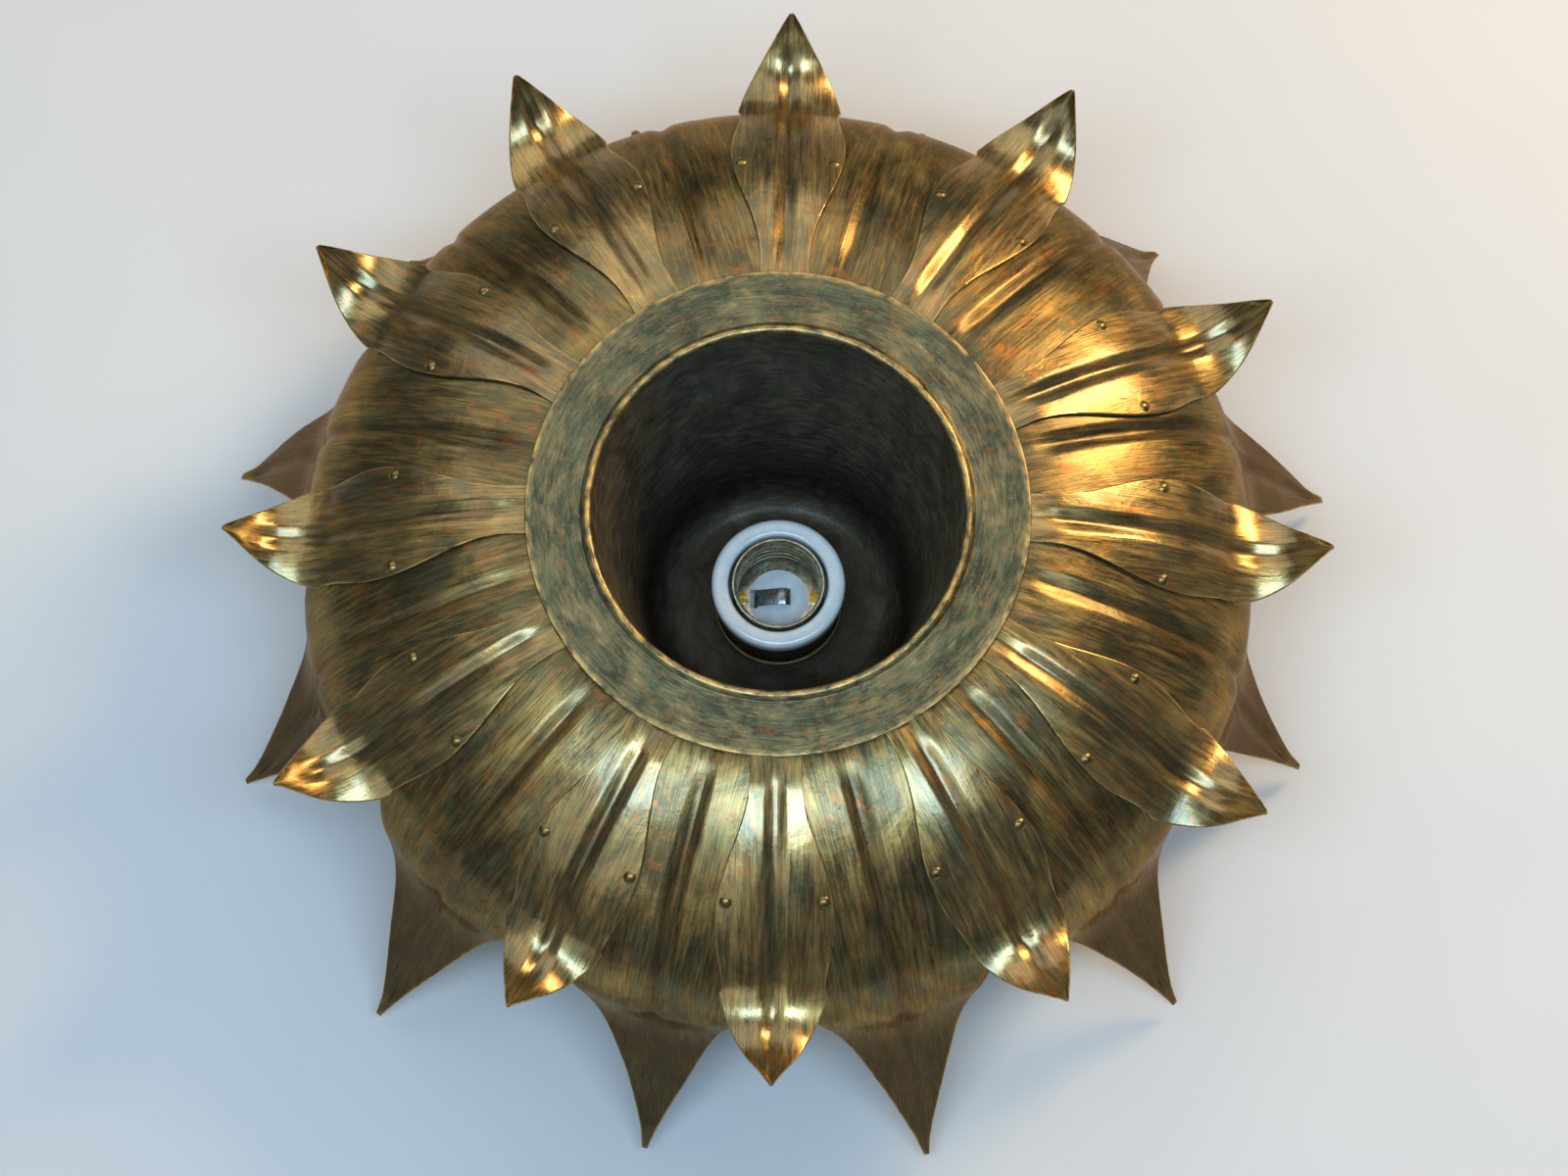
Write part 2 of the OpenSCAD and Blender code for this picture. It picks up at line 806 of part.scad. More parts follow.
// Steel plate fixed to the wall: slots for two screws, a cable hole, and a rim with three threaded bosses
module wall_plate() {
    color(steel)
        difference() {
            union() {
                cylinder(h = plate_t, r = rim_wall_r);
                difference() {
                    cylinder(h = rim_wall_h, r = rim_wall_r);
                    translate([0, 0, plate_t / 2])
                        cylinder(h = rim_wall_h, r = rim_wall_r - rim_wall_t);
                }
                for (turn = thumb_turns)
                    rotate([0, 0, turn])
                        translate([boss_in_r, 0, screw_z])
                            rotate([0, 90, 0])
                                cylinder(h = rim_wall_r - rim_wall_t / 2 - boss_in_r, r = boss_r, $fn = 32);
            }
            for (turn = thumb_turns)
                rotate([0, 0, turn])
                    translate([boss_in_r - 1, 0, screw_z])
                        rotate([0, 90, 0])
                            cylinder(h = 10, r = screw_r + slack, $fn = 32);
            for (side = [-1, 1])
                translate([side * wall_screw_gap / 2, 0, -1])
                    wall_slot();
            translate([0, grommet_y, -1])
                cylinder(h = plate_t + 2, r = grommet_neck_r);
        }
}

module wall_slot() {
    half_run = wall_slot_len / 2 - wall_slot_r;
    for (end = [-1, 1])
        translate([end * half_run, 0, 0])
            cylinder(h = plate_t + 2, r = wall_slot_r, $fn = 32);
    translate([-half_run, -wall_slot_r, 0])
        cube([2 * half_run, 2 * wall_slot_r, plate_t + 2]);
}

module cable_grommet() {
    color(rubber)
        translate([0, grommet_y, 0])
            difference() {
                union() {
                    cylinder(h = plate_t + 0.5, r = grommet_neck_r - slack / 2);
                    translate([0, 0, plate_t])
                        cylinder(h = grommet_h - plate_t, r = grommet_flange_r);
                }
                translate([0, 0, -1])
                    cylinder(h = grommet_h + 2, r = cable_r);
            }
}

// Knurled screw on the +X side: shank through rim and drum slot, head outside the drum
module thumbscrew(turn) {
    head_x = drum_r + 0.3;
    color(brass)
        rotate([0, 0, turn])
            translate([0, 0, screw_z])
                rotate([0, 90, 0])
                    difference() {
                        union() {
                            translate([0, 0, boss_in_r + 0.5])
                                cylinder(h = head_x + 1 - boss_in_r - 0.5, r = screw_r, $fn = 32);
                            translate([0, 0, head_x])
                                cylinder(h = thumb_head_len, r = thumb_head_r);
                        }
                        for (i = [0:knurl_count - 1])
                            rotate([0, 0, i * 360 / knurl_count])
                                translate([thumb_head_r + knurl_r / 3, 0, head_x - 1])
                                    cylinder(h = thumb_head_len + 2, r = knurl_r, $fn = 16);
                    }
}

wall_plate();
cable_grommet();
thumbscrew(thumb_turns[0]);  // thumbscrew_a
thumbscrew(thumb_turns[1]);  // thumbscrew_b
thumbscrew(thumb_turns[2]);  // thumbscrew_c
canopy_drum();
cup();
trim_ring();
petal_collar();
front_petal(0);  // front_petal_01
front_petal(1);  // front_petal_02
front_petal(2);  // front_petal_03
front_petal(3);  // front_petal_04
front_petal(4);  // front_petal_05
front_petal(5);  // front_petal_06
front_petal(6);  // front_petal_07
front_petal(7);  // front_petal_08
front_petal(8);  // front_petal_09
front_petal(9);  // front_petal_10
front_petal(10);  // front_petal_11
front_petal(11);  // front_petal_12
back_petal(0);  // back_petal_01
back_petal(1);  // back_petal_02
back_petal(2);  // back_petal_03
back_petal(3);  // back_petal_04
back_petal(4);  // back_petal_05
back_petal(5);  // back_petal_06
back_petal(6);  // back_petal_07
back_petal(7);  // back_petal_08
back_petal(8);  // back_petal_09
back_petal(9);  // back_petal_10
back_petal(10);  // back_petal_11
back_petal(11);  // back_petal_12
petal_rivets();
collar_rivets();
nipple();
nipple_washer();
nipple_nut();
holder_cap();
holder_shell();
porcelain_mouth();
thread_shell();
contact_base();
centre_contact();
contact_screws();
live_wire();
neutral_wire();
earth_wire();
terminal_block();
terminal_sleeves();
terminal_screws();
block_screw();
earth_screw();
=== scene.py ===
"""Sunflower flush lamp: two layers of aged gilt petals round a deep cup with a porcelain lampholder."""
import math

import bpy
import numpy as np
from mathutils import Matrix, Vector, noise


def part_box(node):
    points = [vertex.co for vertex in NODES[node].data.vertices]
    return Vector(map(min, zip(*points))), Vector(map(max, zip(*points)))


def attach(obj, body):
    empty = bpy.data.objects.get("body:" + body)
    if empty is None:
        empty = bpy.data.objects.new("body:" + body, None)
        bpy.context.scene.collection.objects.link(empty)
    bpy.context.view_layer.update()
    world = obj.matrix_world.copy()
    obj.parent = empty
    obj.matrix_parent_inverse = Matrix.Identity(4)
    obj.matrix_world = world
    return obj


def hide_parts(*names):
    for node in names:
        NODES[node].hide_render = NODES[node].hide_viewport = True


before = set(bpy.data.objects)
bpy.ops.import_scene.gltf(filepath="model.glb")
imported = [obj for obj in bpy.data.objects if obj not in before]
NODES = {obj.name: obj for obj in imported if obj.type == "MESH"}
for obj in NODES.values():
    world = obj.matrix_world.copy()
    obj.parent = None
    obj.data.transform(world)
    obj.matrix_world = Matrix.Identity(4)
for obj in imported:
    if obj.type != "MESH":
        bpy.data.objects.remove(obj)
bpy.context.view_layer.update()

MM = 0.001
PETALS = 12
SHEET_T = 0.8
LAMP = "lamp"


# ---------------------------------------------------------------- small helpers

def low(node):
    """Lowest corner of a CAD node, in mm."""
    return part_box(node)[0] / MM


def high(node):
    """Highest corner of a CAD node, in mm."""
    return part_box(node)[1] / MM


def smooth(a, b, x):
    """Smooth step: 0 before a, 1 after b."""
    t = np.clip((np.asarray(x, float) - a) / (b - a), 0, 1)
    return t * t * (3 - 2 * t)


def cosine(a, b, t):
    """Cosine ease from a to b as t goes from 0 to 1."""
    return a + (b - a) * (1 - np.cos(np.pi * np.clip(t, 0, 1))) / 2


def tone(code):
    """Linear colour from an sRGB code such as '#7d6a36'."""
    parts = [int(code[i:i + 2], 16) / 255 for i in (1, 3, 5)]
    return tuple(c / 12.92 if c <= 0.04045 else ((c + 0.055) / 1.055) ** 2.4 for c in parts) + (1.0,)


def wobble(x, y, z, seed):
    """Smooth noise from -1 to 1 at a point given in its own wavelengths."""
    return noise.noise(Vector((x, y, z)) + Vector((seed * 7.31, seed * 3.17, seed * 5.93)))


# ---------------------------------------------------------------- mesh building

def piece(name, points, faces, material, body=LAMP, stands_for=(), slot=None, fields=None, sharp=35):
    """Mesh object from points in mm, riding on a CAD body and standing for CAD nodes."""
    mesh = bpy.data.meshes.new(name)
    mesh.from_pydata([tuple(p) for p in np.asarray(points) * MM], [], faces)
    for key, values in (fields or {}).items():
        values = np.asarray(values, np.float32)
        kind = "FLOAT_VECTOR" if values.ndim == 2 else "FLOAT"
        field = mesh.attributes.new(key, kind, "POINT")
        field.data.foreach_set("vector" if values.ndim == 2 else "value", values.ravel())
    mesh.validate()
    mesh.shade_smooth()
    mesh.set_sharp_from_angle(angle=math.radians(sharp))
    obj = bpy.data.objects.new(name, mesh)
    bpy.context.scene.collection.objects.link(obj)
    mesh.materials.append(material)
    if stands_for:
        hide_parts(*stands_for)
    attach(obj, body)
    return obj


def loft_faces(rows, loop, closed_rows=False):
    """Quads that join rows of loop points each; every loop is closed on itself."""
    faces = []
    for i in range(rows if closed_rows else rows - 1):
        a, b = i * loop, (i + 1) % rows * loop
        for j in range(loop):
            k = (j + 1) % loop
            faces.append((a + j, a + k, b + k, b + j))
    return faces


def rounded(corners, steps=5):
    """Profile points from corners (r, z, radius), each corner rounded by its radius."""
    out = []
    count = len(corners)
    for i, (r, z, radius) in enumerate(corners):
        here = np.array([r, z], float)
        if radius <= 0:
            out.append(here)
            continue
        to_last = np.array(corners[i - 1][:2], float) - here
        to_next = np.array(corners[(i + 1) % count][:2], float) - here
        to_last /= np.linalg.norm(to_last)
        to_next /= np.linalg.norm(to_next)
        half = math.acos(float(np.clip(to_last @ to_next, -1, 1))) / 2
        cut = radius / math.tan(half)
        centre = here + (to_last + to_next) / np.linalg.norm(to_last + to_next) * radius / math.sin(half)
        start = here + to_last * cut - centre
        end = here + to_next * cut - centre
        sweep = math.atan2(start[0] * end[1] - start[1] * end[0], start @ end)
        for k in range(steps + 1):
            c, s = math.cos(sweep * k / steps), math.sin(sweep * k / steps)
            out.append(centre + [start[0] * c - start[1] * s, start[0] * s + start[1] * c])
    return np.array(out)


def arc(centre, radius, start, end, steps):
    """Profile corners along an arc, angles in degrees, none of them rounded."""
    turns = np.radians(np.linspace(start, end, steps))
    return [(centre[0] + radius * math.cos(t), centre[1] + radius * math.sin(t), 0) for t in turns]


def dense(profile, spacing):
    """The closed profile with extra points on its long straight stretches."""
    out = []
    for i, here in enumerate(profile):
        after = profile[(i + 1) % len(profile)]
        parts = max(1, int(np.linalg.norm(after - here) / spacing))
        out += [here + (after - here) * k / parts for k in range(parts)]
    return np.array(out)


# Share of a dent's depth that also moves a turned part's surface outwards
DENT_OUTWARDS = 0.3


def lathe(name, corners, material, segments=128, spacing=2.0, dent=0.0, dent_size=9.0, seed=1, centre=(0, 0),
          rub=None, dirt_and_shade=None, run=1.0, **place):
    """Ring of revolution about a vertical line from a closed profile, with soft dents.

    The function rub gives the worn places, and the other function gives painted shade, such as on the cup's
    floor, for the hollow field; run shortens the grain round the ring.
    """
    profile = dense(rounded(corners), spacing)
    along = np.append(0, np.cumsum(np.linalg.norm(np.diff(profile, axis=0), axis=1)))
    points, grain = [], []
    for i in range(segments):
        turn = 2 * math.pi * i / segments
        c, s = math.cos(turn), math.sin(turn)
        for (r, z), d in zip(profile, along):
            push = dent * wobble(r * c / dent_size, r * s / dent_size, z / dent_size, seed) if dent else 0.0
            pushed_r = r + push * DENT_OUTWARDS
            points.append((pushed_r * c + centre[0], pushed_r * s + centre[1], z + push))
            grain.append((d, r * c * run, r * s * run))
    faces = loft_faces(segments, len(profile), closed_rows=True)
    area = sum(a[0] * b[1] - b[0] * a[1] for a, b in zip(profile, np.roll(profile, -1, axis=0)))
    if area < 0:
        faces = [f[::-1] for f in faces]
    fields = {"grain": grain}
    if rub:
        fields["wear"] = [rub(r, z) for r, z in profile] * segments
    # Painted shade, such as deep in the cup, goes into the hollow field
    if dirt_and_shade:
        fields["hollow"] = [dirt_and_shade(z) for _, z in profile] * segments
    return piece(name, points, faces, material, fields=fields, **place)


def turned(profile, segments, move):
    """Points and faces of a solid of revolution whose profile starts and ends on its own axis."""
    ring = profile[1:-1]
    points = [(0, 0, profile[0][1])]
    for i in range(segments):
        turn = 2 * math.pi * i / segments
        points += [(r * math.cos(turn), r * math.sin(turn), z) for r, z in ring]
    points.append((0, 0, profile[-1][1]))
    loop, last = len(ring), len(points) - 1
    faces = []
    for i in range(segments):
        a, b = 1 + i * loop, 1 + (i + 1) % segments * loop
        faces.append((0, b, a))
        faces += [(a + j, b + j, b + j + 1, a + j + 1) for j in range(loop - 1)]
        faces.append((a + loop - 1, b + loop - 1, last))
    return [move @ Vector(p) for p in points], faces


def joined(parts):
    """One list of points and one of faces from several."""
    points, faces = [], []
    for some_points, some_faces in parts:
        faces += [tuple(i + len(points) for i in face) for face in some_faces]
        points += some_points
    return points, faces


def tube_points(path, radius, sides=14):
    """Rings of points round a smooth path, in mm."""
    path = np.asarray(path, float)
    ways = np.gradient(path, axis=0)
    ways /= np.linalg.norm(ways, axis=1)[:, None]
    side = np.cross(ways[0], [0.3, 0.9, 0.2])
    rings = []
    for p, w in zip(path, ways):
        side = side - w * (side @ w)
        side /= np.linalg.norm(side)
        other = np.cross(w, side)
        turns = np.linspace(0, 2 * math.pi, sides, endpoint=False)
        rings.append(p + radius * (np.cos(turns)[:, None] * side + np.sin(turns)[:, None] * other))
    return np.concatenate(rings), len(path), sides


def soft_path(points, bend, steps=6):
    """The polyline with each inner corner replaced by a curve that starts bend mm before it."""
    points = [np.array(p, float) for p in points]
    out = [points[0]]
    for a, b, c in zip(points, points[1:], points[2:]):
        back, on = a - b, c - b
        reach = min(bend, np.linalg.norm(back) * 0.48, np.linalg.norm(on) * 0.48)
        start = b + back / np.linalg.norm(back) * reach
        end = b + on / np.linalg.norm(on) * reach
        for k in range(steps + 1):
            t = k / steps
            out.append(start * (1 - t) ** 2 + 2 * b * t * (1 - t) + end * t ** 2)
    out.append(points[-1])
    return out


def tube(name, points, radius, bend, material, **place):
    """Round wire through a list of points with softened corners and closed ends."""
    verts, rows, loop = tube_points(soft_path(points, bend), radius)
    faces = loft_faces(rows, loop)
    faces.append(tuple(range(loop))[::-1])
    faces.append(tuple(range((rows - 1) * loop, rows * loop)))
    return piece(name, verts, faces, material, **place)


# ---------------------------------------------------------------- materials

class Shader:
    """A node material. Every method adds one node and returns the socket that carries its result."""

    def __init__(self, name):
        self.material = bpy.data.materials.new(name)
        self.material.use_nodes = True
        self.nodes = self.material.node_tree.nodes
        self.links = self.material.node_tree.links
        self.nodes.clear()

    def add(self, kind, inputs=None, out=0, **settings):
        node = self.nodes.new("ShaderNode" + kind)
        for key, value in settings.items():
            setattr(node, key, value)
        for key, value in (inputs or {}).items():
            if isinstance(value, bpy.types.NodeSocket):
                self.links.new(value, node.inputs[key])
            else:
                node.inputs[key].default_value = value
        return node.outputs[out] if node.outputs else None

    def math(self, kind, a, b=0.0):
        return self.add("Math", {0: a, 1: b}, operation=kind)

    def scaled(self, vector, x, y, z):
        return self.add("VectorMath", {0: vector, 1: (x, y, z)}, operation="MULTIPLY")

    def noise(self, vector, detail=4.0, rough=0.55, distort=0.0):
        inputs = {"Vector": vector, "Scale": 1.0, "Detail": detail, "Roughness": rough, "Distortion": distort}
        return self.add("TexNoise", inputs)

    def span(self, value, start, end, to_start=0.0, to_end=1.0):
        inputs = {"Value": value, "From Min": start, "From Max": end, "To Min": to_start, "To Max": to_end}
        return self.add("MapRange", inputs)

    def mix(self, factor, a, b):
        return self.add("Mix", {0: factor, 6: a, 7: b}, out=2, data_type="RGBA")

    def ramp(self, factor, stops):
        socket = self.add("ValToRGB", {0: factor})
        ramp = socket.node.color_ramp
        while len(ramp.elements) < len(stops):
            ramp.elements.new(0.5)
        for element, (place, code) in zip(ramp.elements, stops):
            element.position = place
            element.color = tone(code)
        return socket

    def field(self, name):
        return self.add("Attribute", out="Vector" if name == "grain" else "Fac", attribute_name=name)

    def place(self):
        """Position on the piece, in mm."""
        point = self.add("TexCoord", out="Object")
        return self.scaled(point, 1 / MM, 1 / MM, 1 / MM)

    def bump(self, height, distance, last=None):
        inputs = {"Height": height, "Distance": distance * MM, "Strength": 1.0}
        if last:
            inputs["Normal"] = last
        return self.add("Bump", inputs)

    def finish(self, **inputs):
        names = {key.replace("_", " "): value for key, value in inputs.items()}
        surface = self.add("BsdfPrincipled", names)
        self.add("OutputMaterial", {"Surface": surface})
        return self.material


COPPER = tone("#a0642f")
VERDIGRIS = tone("#5a674f")
PIT_BROWN = tone("#17110a")
# Painted shade for the hollows: the cup's floor, the back petals' tips and, together with dark patina, the
# pressed veins
SHADE_AND_PATINA = tone("#2b2114")
# Painted glints: tiny bright specks
GLINT_DOT = tone("#c9c3a2")
RUBBED_GOLD = tone("#e5c075")
EDGE_TINT = (0.72, 0.48, 0.26, 1.0)


def gilt(name, dark, mid, gold, bright, shift=0.0, lacquer=0.7, copper=0.5, shine=0.0, shade_depth=0.45,
         glint_specks=0.3):
    """Aged gilt sheet: patina streaks along the grain, stains, pits, painted shade in the hollows, painted
    glints, worn edges, a lacquer coat.
    """
    s = Shader(name)
    grain = s.field("grain")

    # Patina: the sum of four layers of noise, drawn out along the grain
    hairs = s.noise(s.scaled(grain, 2.4, 0.11, 0.11), 3.0, 0.6)
    streaks = s.noise(s.scaled(grain, 0.7, 0.06, 0.06), 4.0, 0.65, 0.3)
    bands = s.noise(s.scaled(grain, 0.16, 0.035, 0.035), 3.0, 0.5)
    clouds = s.noise(s.scaled(grain, 0.055, 0.045, 0.045), 5.0, 0.6, 0.6)
    amount = s.math("ADD", s.math("MULTIPLY", hairs, 0.34), shift)
    for layer, weight in ((streaks, 0.26), (bands, 0.16), (clouds, 0.46)):
        amount = s.math("ADD", amount, s.math("MULTIPLY", layer, weight))
    colour = s.ramp(s.span(amount, 0.4, 0.86), [(0.0, dark), (0.36, mid), (0.7, gold), (1.0, bright)])

    # Copper showing through, green stains, pits, painted shade in the hollows (with dark patina in the
    # veins), painted glints as bright dots, and rubbed edges
    spots = s.noise(s.scaled(grain, 0.24, 0.16, 0.16), 6.0, 0.7, 0.8)
    rust = s.span(spots, 0.52, 0.68, 0.0, copper)
    colour = s.mix(rust, colour, COPPER)
    green = s.span(s.noise(s.scaled(grain, 0.12, 0.05, 0.05), 5.0, 0.65, 0.4), 0.5, 0.75, 0.0, 0.6)
    colour = s.mix(green, colour, VERDIGRIS)
    pits = s.span(s.noise(s.scaled(grain, 1.3, 0.9, 0.9), 4.0, 0.7), 0.66, 0.72)
    colour = s.mix(s.math("MULTIPLY", pits, 0.75), colour, PIT_BROWN)
    hollow = s.field("hollow")
    # Painted shade: the hollow field darkens the veins, the back petals' tips and the cup's floor
    shade_amount = s.math("MULTIPLY", hollow, s.span(clouds, 0.35, 0.6, shade_depth * 0.5, shade_depth))
    colour = s.mix(shade_amount, colour, SHADE_AND_PATINA)
    # Painted glints: scattered tiny bright specks
    glint_dots = s.span(s.noise(s.scaled(grain, 1.7, 1.1, 1.1), 3.0, 0.7), 0.34, 0.29, 0.0, glint_specks)
    colour = s.mix(glint_dots, colour, GLINT_DOT)
    patches = s.span(s.noise(s.scaled(grain, 0.5, 0.12, 0.12), 4.0), 0.38, 0.62)
    colour = s.mix(s.math("MULTIPLY", s.field("wear"), patches), colour, RUBBED_GOLD)

    rough = s.span(streaks, 0.35, 0.65, 0.27 - shine, 0.44 - shine)
    rough = s.math("ADD", rough, s.math("MULTIPLY", pits, 0.2))
    bump = s.bump(hairs, 0.05)
    bump = s.bump(clouds, 0.35, bump)
    bump = s.bump(s.math("MULTIPLY", pits, -1.0), 0.08, bump)
    return s.finish(
        Base_Color=colour, Metallic=0.88, Roughness=rough, Normal=bump,
        Coat_Weight=lacquer, Coat_Roughness=0.16, Coat_Normal=s.bump(clouds, 0.25),
        Specular_Tint=EDGE_TINT,
    )


def metal(name, base, light, rough=0.3, mottle=0.35, scale=0.5, dirt_and_shade="#1b150d", dirt_amount=0.5):
    """Plain metal with soft mottling, fine scratches and some dirt."""
    s = Shader(name)
    at = s.place()
    cloud = s.noise(s.scaled(at, scale, scale, scale), 5.0, 0.65, 0.5)
    fine = s.noise(s.scaled(at, 4.0, 4.0, 4.0), 3.0, 0.6)
    colour = s.mix(s.span(cloud, 0.35, 0.65), tone(base), tone(light))
    stains = s.noise(s.scaled(at, scale * 0.6, scale * 0.6, scale * 0.6), 6.0, 0.7, 0.7)
    dusk = s.span(stains, 0.5, 0.72, 0.0, dirt_amount)
    colour = s.mix(dusk, colour, tone(dirt_and_shade))
    roughness = s.span(fine, 0.3, 0.7, rough - mottle * 0.3, rough + mottle * 0.5)
    return s.finish(Base_Color=colour, Metallic=0.92, Roughness=roughness, Normal=s.bump(fine, 0.03))


def ceramic(name, base, shade, rough, coat):
    """Glazed or bare ceramic with faint cloudiness and specks."""
    s = Shader(name)
    at = s.place()
    cloud = s.noise(s.scaled(at, 0.18, 0.18, 0.18), 4.0, 0.6)
    speck = s.span(s.noise(s.scaled(at, 2.2, 2.2, 2.2), 3.0, 0.7), 0.7, 0.76, 0.0, 0.5)
    colour = s.mix(s.span(cloud, 0.3, 0.7), tone(base), tone(shade))
    colour = s.mix(speck, colour, tone("#8b8271"))
    return s.finish(
        Base_Color=colour, Roughness=s.span(cloud, 0.3, 0.7, rough, rough + 0.08),
        Normal=s.bump(s.noise(s.scaled(at, 0.4, 0.4, 0.4), 2.0), 0.12),
        Coat_Weight=coat, Coat_Roughness=0.05,
    )


def plastic(name, base, shade, rough, scale=1.5, grit=0.02):
    """Moulded plastic or rubber with a fine surface and slight unevenness of colour."""
    s = Shader(name)
    at = s.place()
    cloud = s.noise(s.scaled(at, scale * 0.2, scale * 0.2, scale * 0.2), 4.0, 0.6)
    fine = s.noise(s.scaled(at, scale * 3, scale * 3, scale * 3), 3.0, 0.6)
    colour = s.mix(s.span(cloud, 0.3, 0.7), tone(base), tone(shade))
    roughness = s.span(fine, 0.3, 0.7, rough - 0.06, rough + 0.1)
    return s.finish(Base_Color=colour, Roughness=roughness, Normal=s.bump(fine, grit))


front_gilt = gilt(
    "front_gilt", "#38331f", "#675c3b", "#ac9156", "#f0cc86", shift=0.01, copper=0.7, shine=0.06,
)
back_gilt = gilt(
    "back_gilt", "#322d1d", "#5d5337", "#9f864e", "#dfbd75", shift=-0.01, lacquer=0.2, copper=0.6,
    shine=0.02, shade_depth=0.85,
)
ring_gilt = gilt(
    "ring_gilt", "#1b201a", "#3f4636", "#797353", "#cdbb82", lacquer=0.3, copper=0.4, shine=-0.08,
    glint_specks=0.6,
)
cup_bronze = gilt(
    "cup_bronze", "#3c3c34", "#605d51", "#89836e", "#b0a684", shift=-0.02, lacquer=0.1, copper=0.25,
    shine=-0.26, shade_depth=0.85, glint_specks=0.1,
)
collar_brass = metal("collar_brass", "#4a3a1f", "#6d5830", rough=0.45)
rivet_gilt = metal("rivet_gilt", "#574a2b", "#8d7a49", rough=0.26, dirt_amount=0.5)
brass = metal("brass", "#9c7a33", "#c9a450", rough=0.22, dirt_amount=0.3)
dark_brass = metal("dark_brass", "#2e2414", "#6a5528", rough=0.3, dirt_amount=0.6)
thread_nickel = metal("thread_nickel", "#8a8672", "#cbc8b4", rough=0.13, mottle=0.2, dirt_amount=0.45)
contact_nickel = metal("contact_nickel", "#5f6664", "#a3abac", rough=0.2, dirt_amount=0.5)
# Pale, rough brass with a painted highlight: the bead under the porcelain is drawn much lighter than brass
bead_brass_painted_highlight = metal("bead_brass_painted_highlight", "#cbb878", "#efe3b0", rough=0.6, dirt_amount=0.2)
zinc_steel = metal("zinc_steel", "#8d9093", "#b4b7b8", rough=0.36, dirt_and_shade="#4c4a44", dirt_amount=0.35)
porcelain = ceramic("porcelain", "#cfd5d6", "#bfc7ca", 0.2, 0.6)
base_ceramic = ceramic("base_ceramic", "#c3ccd0", "#a4adb2", 0.35, 0.25)
rubber = plastic("rubber", "#1d1d1c", "#2a2a28", 0.6)
block_nylon = plastic("block_nylon", "#e4dfce", "#d2cbb6", 0.4)
brown_wire = plastic("brown_wire", "#5e3418", "#75451f", 0.4)
blue_wire = plastic("blue_wire", "#2a5f92", "#3a76ab", 0.4)


# ---------------------------------------------------------------- petals

# The ring's rolled bead stands above its flat face, and the petals' flat lands lie under the face
BEAD_R = 1.3
BEAD_DROP = 0.1
LAND_DROP = 1.5
RIM_Z = high("trim_ring")[2] - BEAD_R + BEAD_DROP
FRONT_LAND_Z = RIM_Z - LAND_DROP
BACK_LAND_Z = FRONT_LAND_Z - SHEET_T
LAND_R = 64.0

# Sections from the ring outwards, as (length, bend in degrees): land, ease, arch, then a front petal's
# flare and straight end, or a back petal's shoulder, outward sweep and straight end
FRONT_STRETCHES = [(8, 0), (3.11, -8), (60.5, -36), (25.81, 87), (11, 0)]
BACK_STRETCHES = [(8, 0), (3, -8), (60, -36), (28.9, -46), (23.56, 27), (52.3, 0)]

# Distances along the sections at which a front petal folds outwards and a back petal starts its sweep
FOLD = 71.6
SWEEP = 112.0

# Front petal outline: radii at which it changes, half widths there, roundness of the tip's sides
FRONT_NARROW_R = 76
FRONT_WIDE_R = 117
FRONT_TIP_R = 132
FRONT_ROOT_HALF = 7.0
FRONT_HALF = 16.6
FRONT_TIP_HALF = 14.4
FRONT_TIP_CURVE = 1.5

# Back petal outline: height at which it parts from its neighbours, half width there, hollow of its sides,
# and half of its share of the circle
PARTING_Z = RIM_Z - 27
PARTING_HALF = 31.5
BACK_SIDE_CURVE = 1.2
SHARE = math.radians(14.75)

# Half width of the blunted tips
BLUNT = 0.8

# The pressed vein: its half width and depth, and its shape as (place, share of the depth)
VEIN_HALF = 3.6
VEIN_DEPTH = 1.15
VEIN_SHAPE = (
    (0.0, 1.0), (0.1, 0.99), (0.2, 0.93), (0.5, 0.6), (0.84, 0.16), (1.0, 0.04), (1.14, 0.006), (1.34, 0.0),
)

RIVET_R = 110.0
RIVET_TURN = 7.05

# How far each petal's tip was bent sideways, in degrees, and pulled outwards, in mm
BACK_LEAN = (0.8, -0.6, 1.5, 0.7, -0.4, -0.2, -1.2, -0.3, -2.0, 1.0, 0.4, -0.8)
BACK_REACH = (0, 2, 5, -3.5, -1, 0.5, -2.5, 2, 1, 5, -2, 1)
FRONT_LEAN = (0, 0.3, -0.2, 0.4, -0.3, 0, 0.2, -0.4, 0.3, -0.2, 0.2, 0)
FRONT_REACH = (0, 1, -0.3, -1, 0.5, -1.8, 0, -3, 0.4, -0.8, 0, 0.2)


def bend_path(r, z, stretches, spacing=1.35, turn_step=5.0):
    """Rows (radius, height, heading, distance) along straight and bent stretches of (length, degrees)."""
    rows, heading, distance = [], 0.0, 0.0
    for length, degrees in stretches:
        turn = math.radians(degrees)
        count = max(round(length / spacing), math.ceil(abs(degrees) / turn_step))
        for i in range(1, count + 1):
            rows.append((r, z, heading, distance))
            half = turn / count / 2
            step = length / count * (math.sin(half) / half if half else 1.0)
            r += step * math.cos(heading + half)
            z += step * math.sin(heading + half)
            heading += 2 * half
            distance += length / count
    rows.append((r, z, heading, distance))
    return np.array(rows)


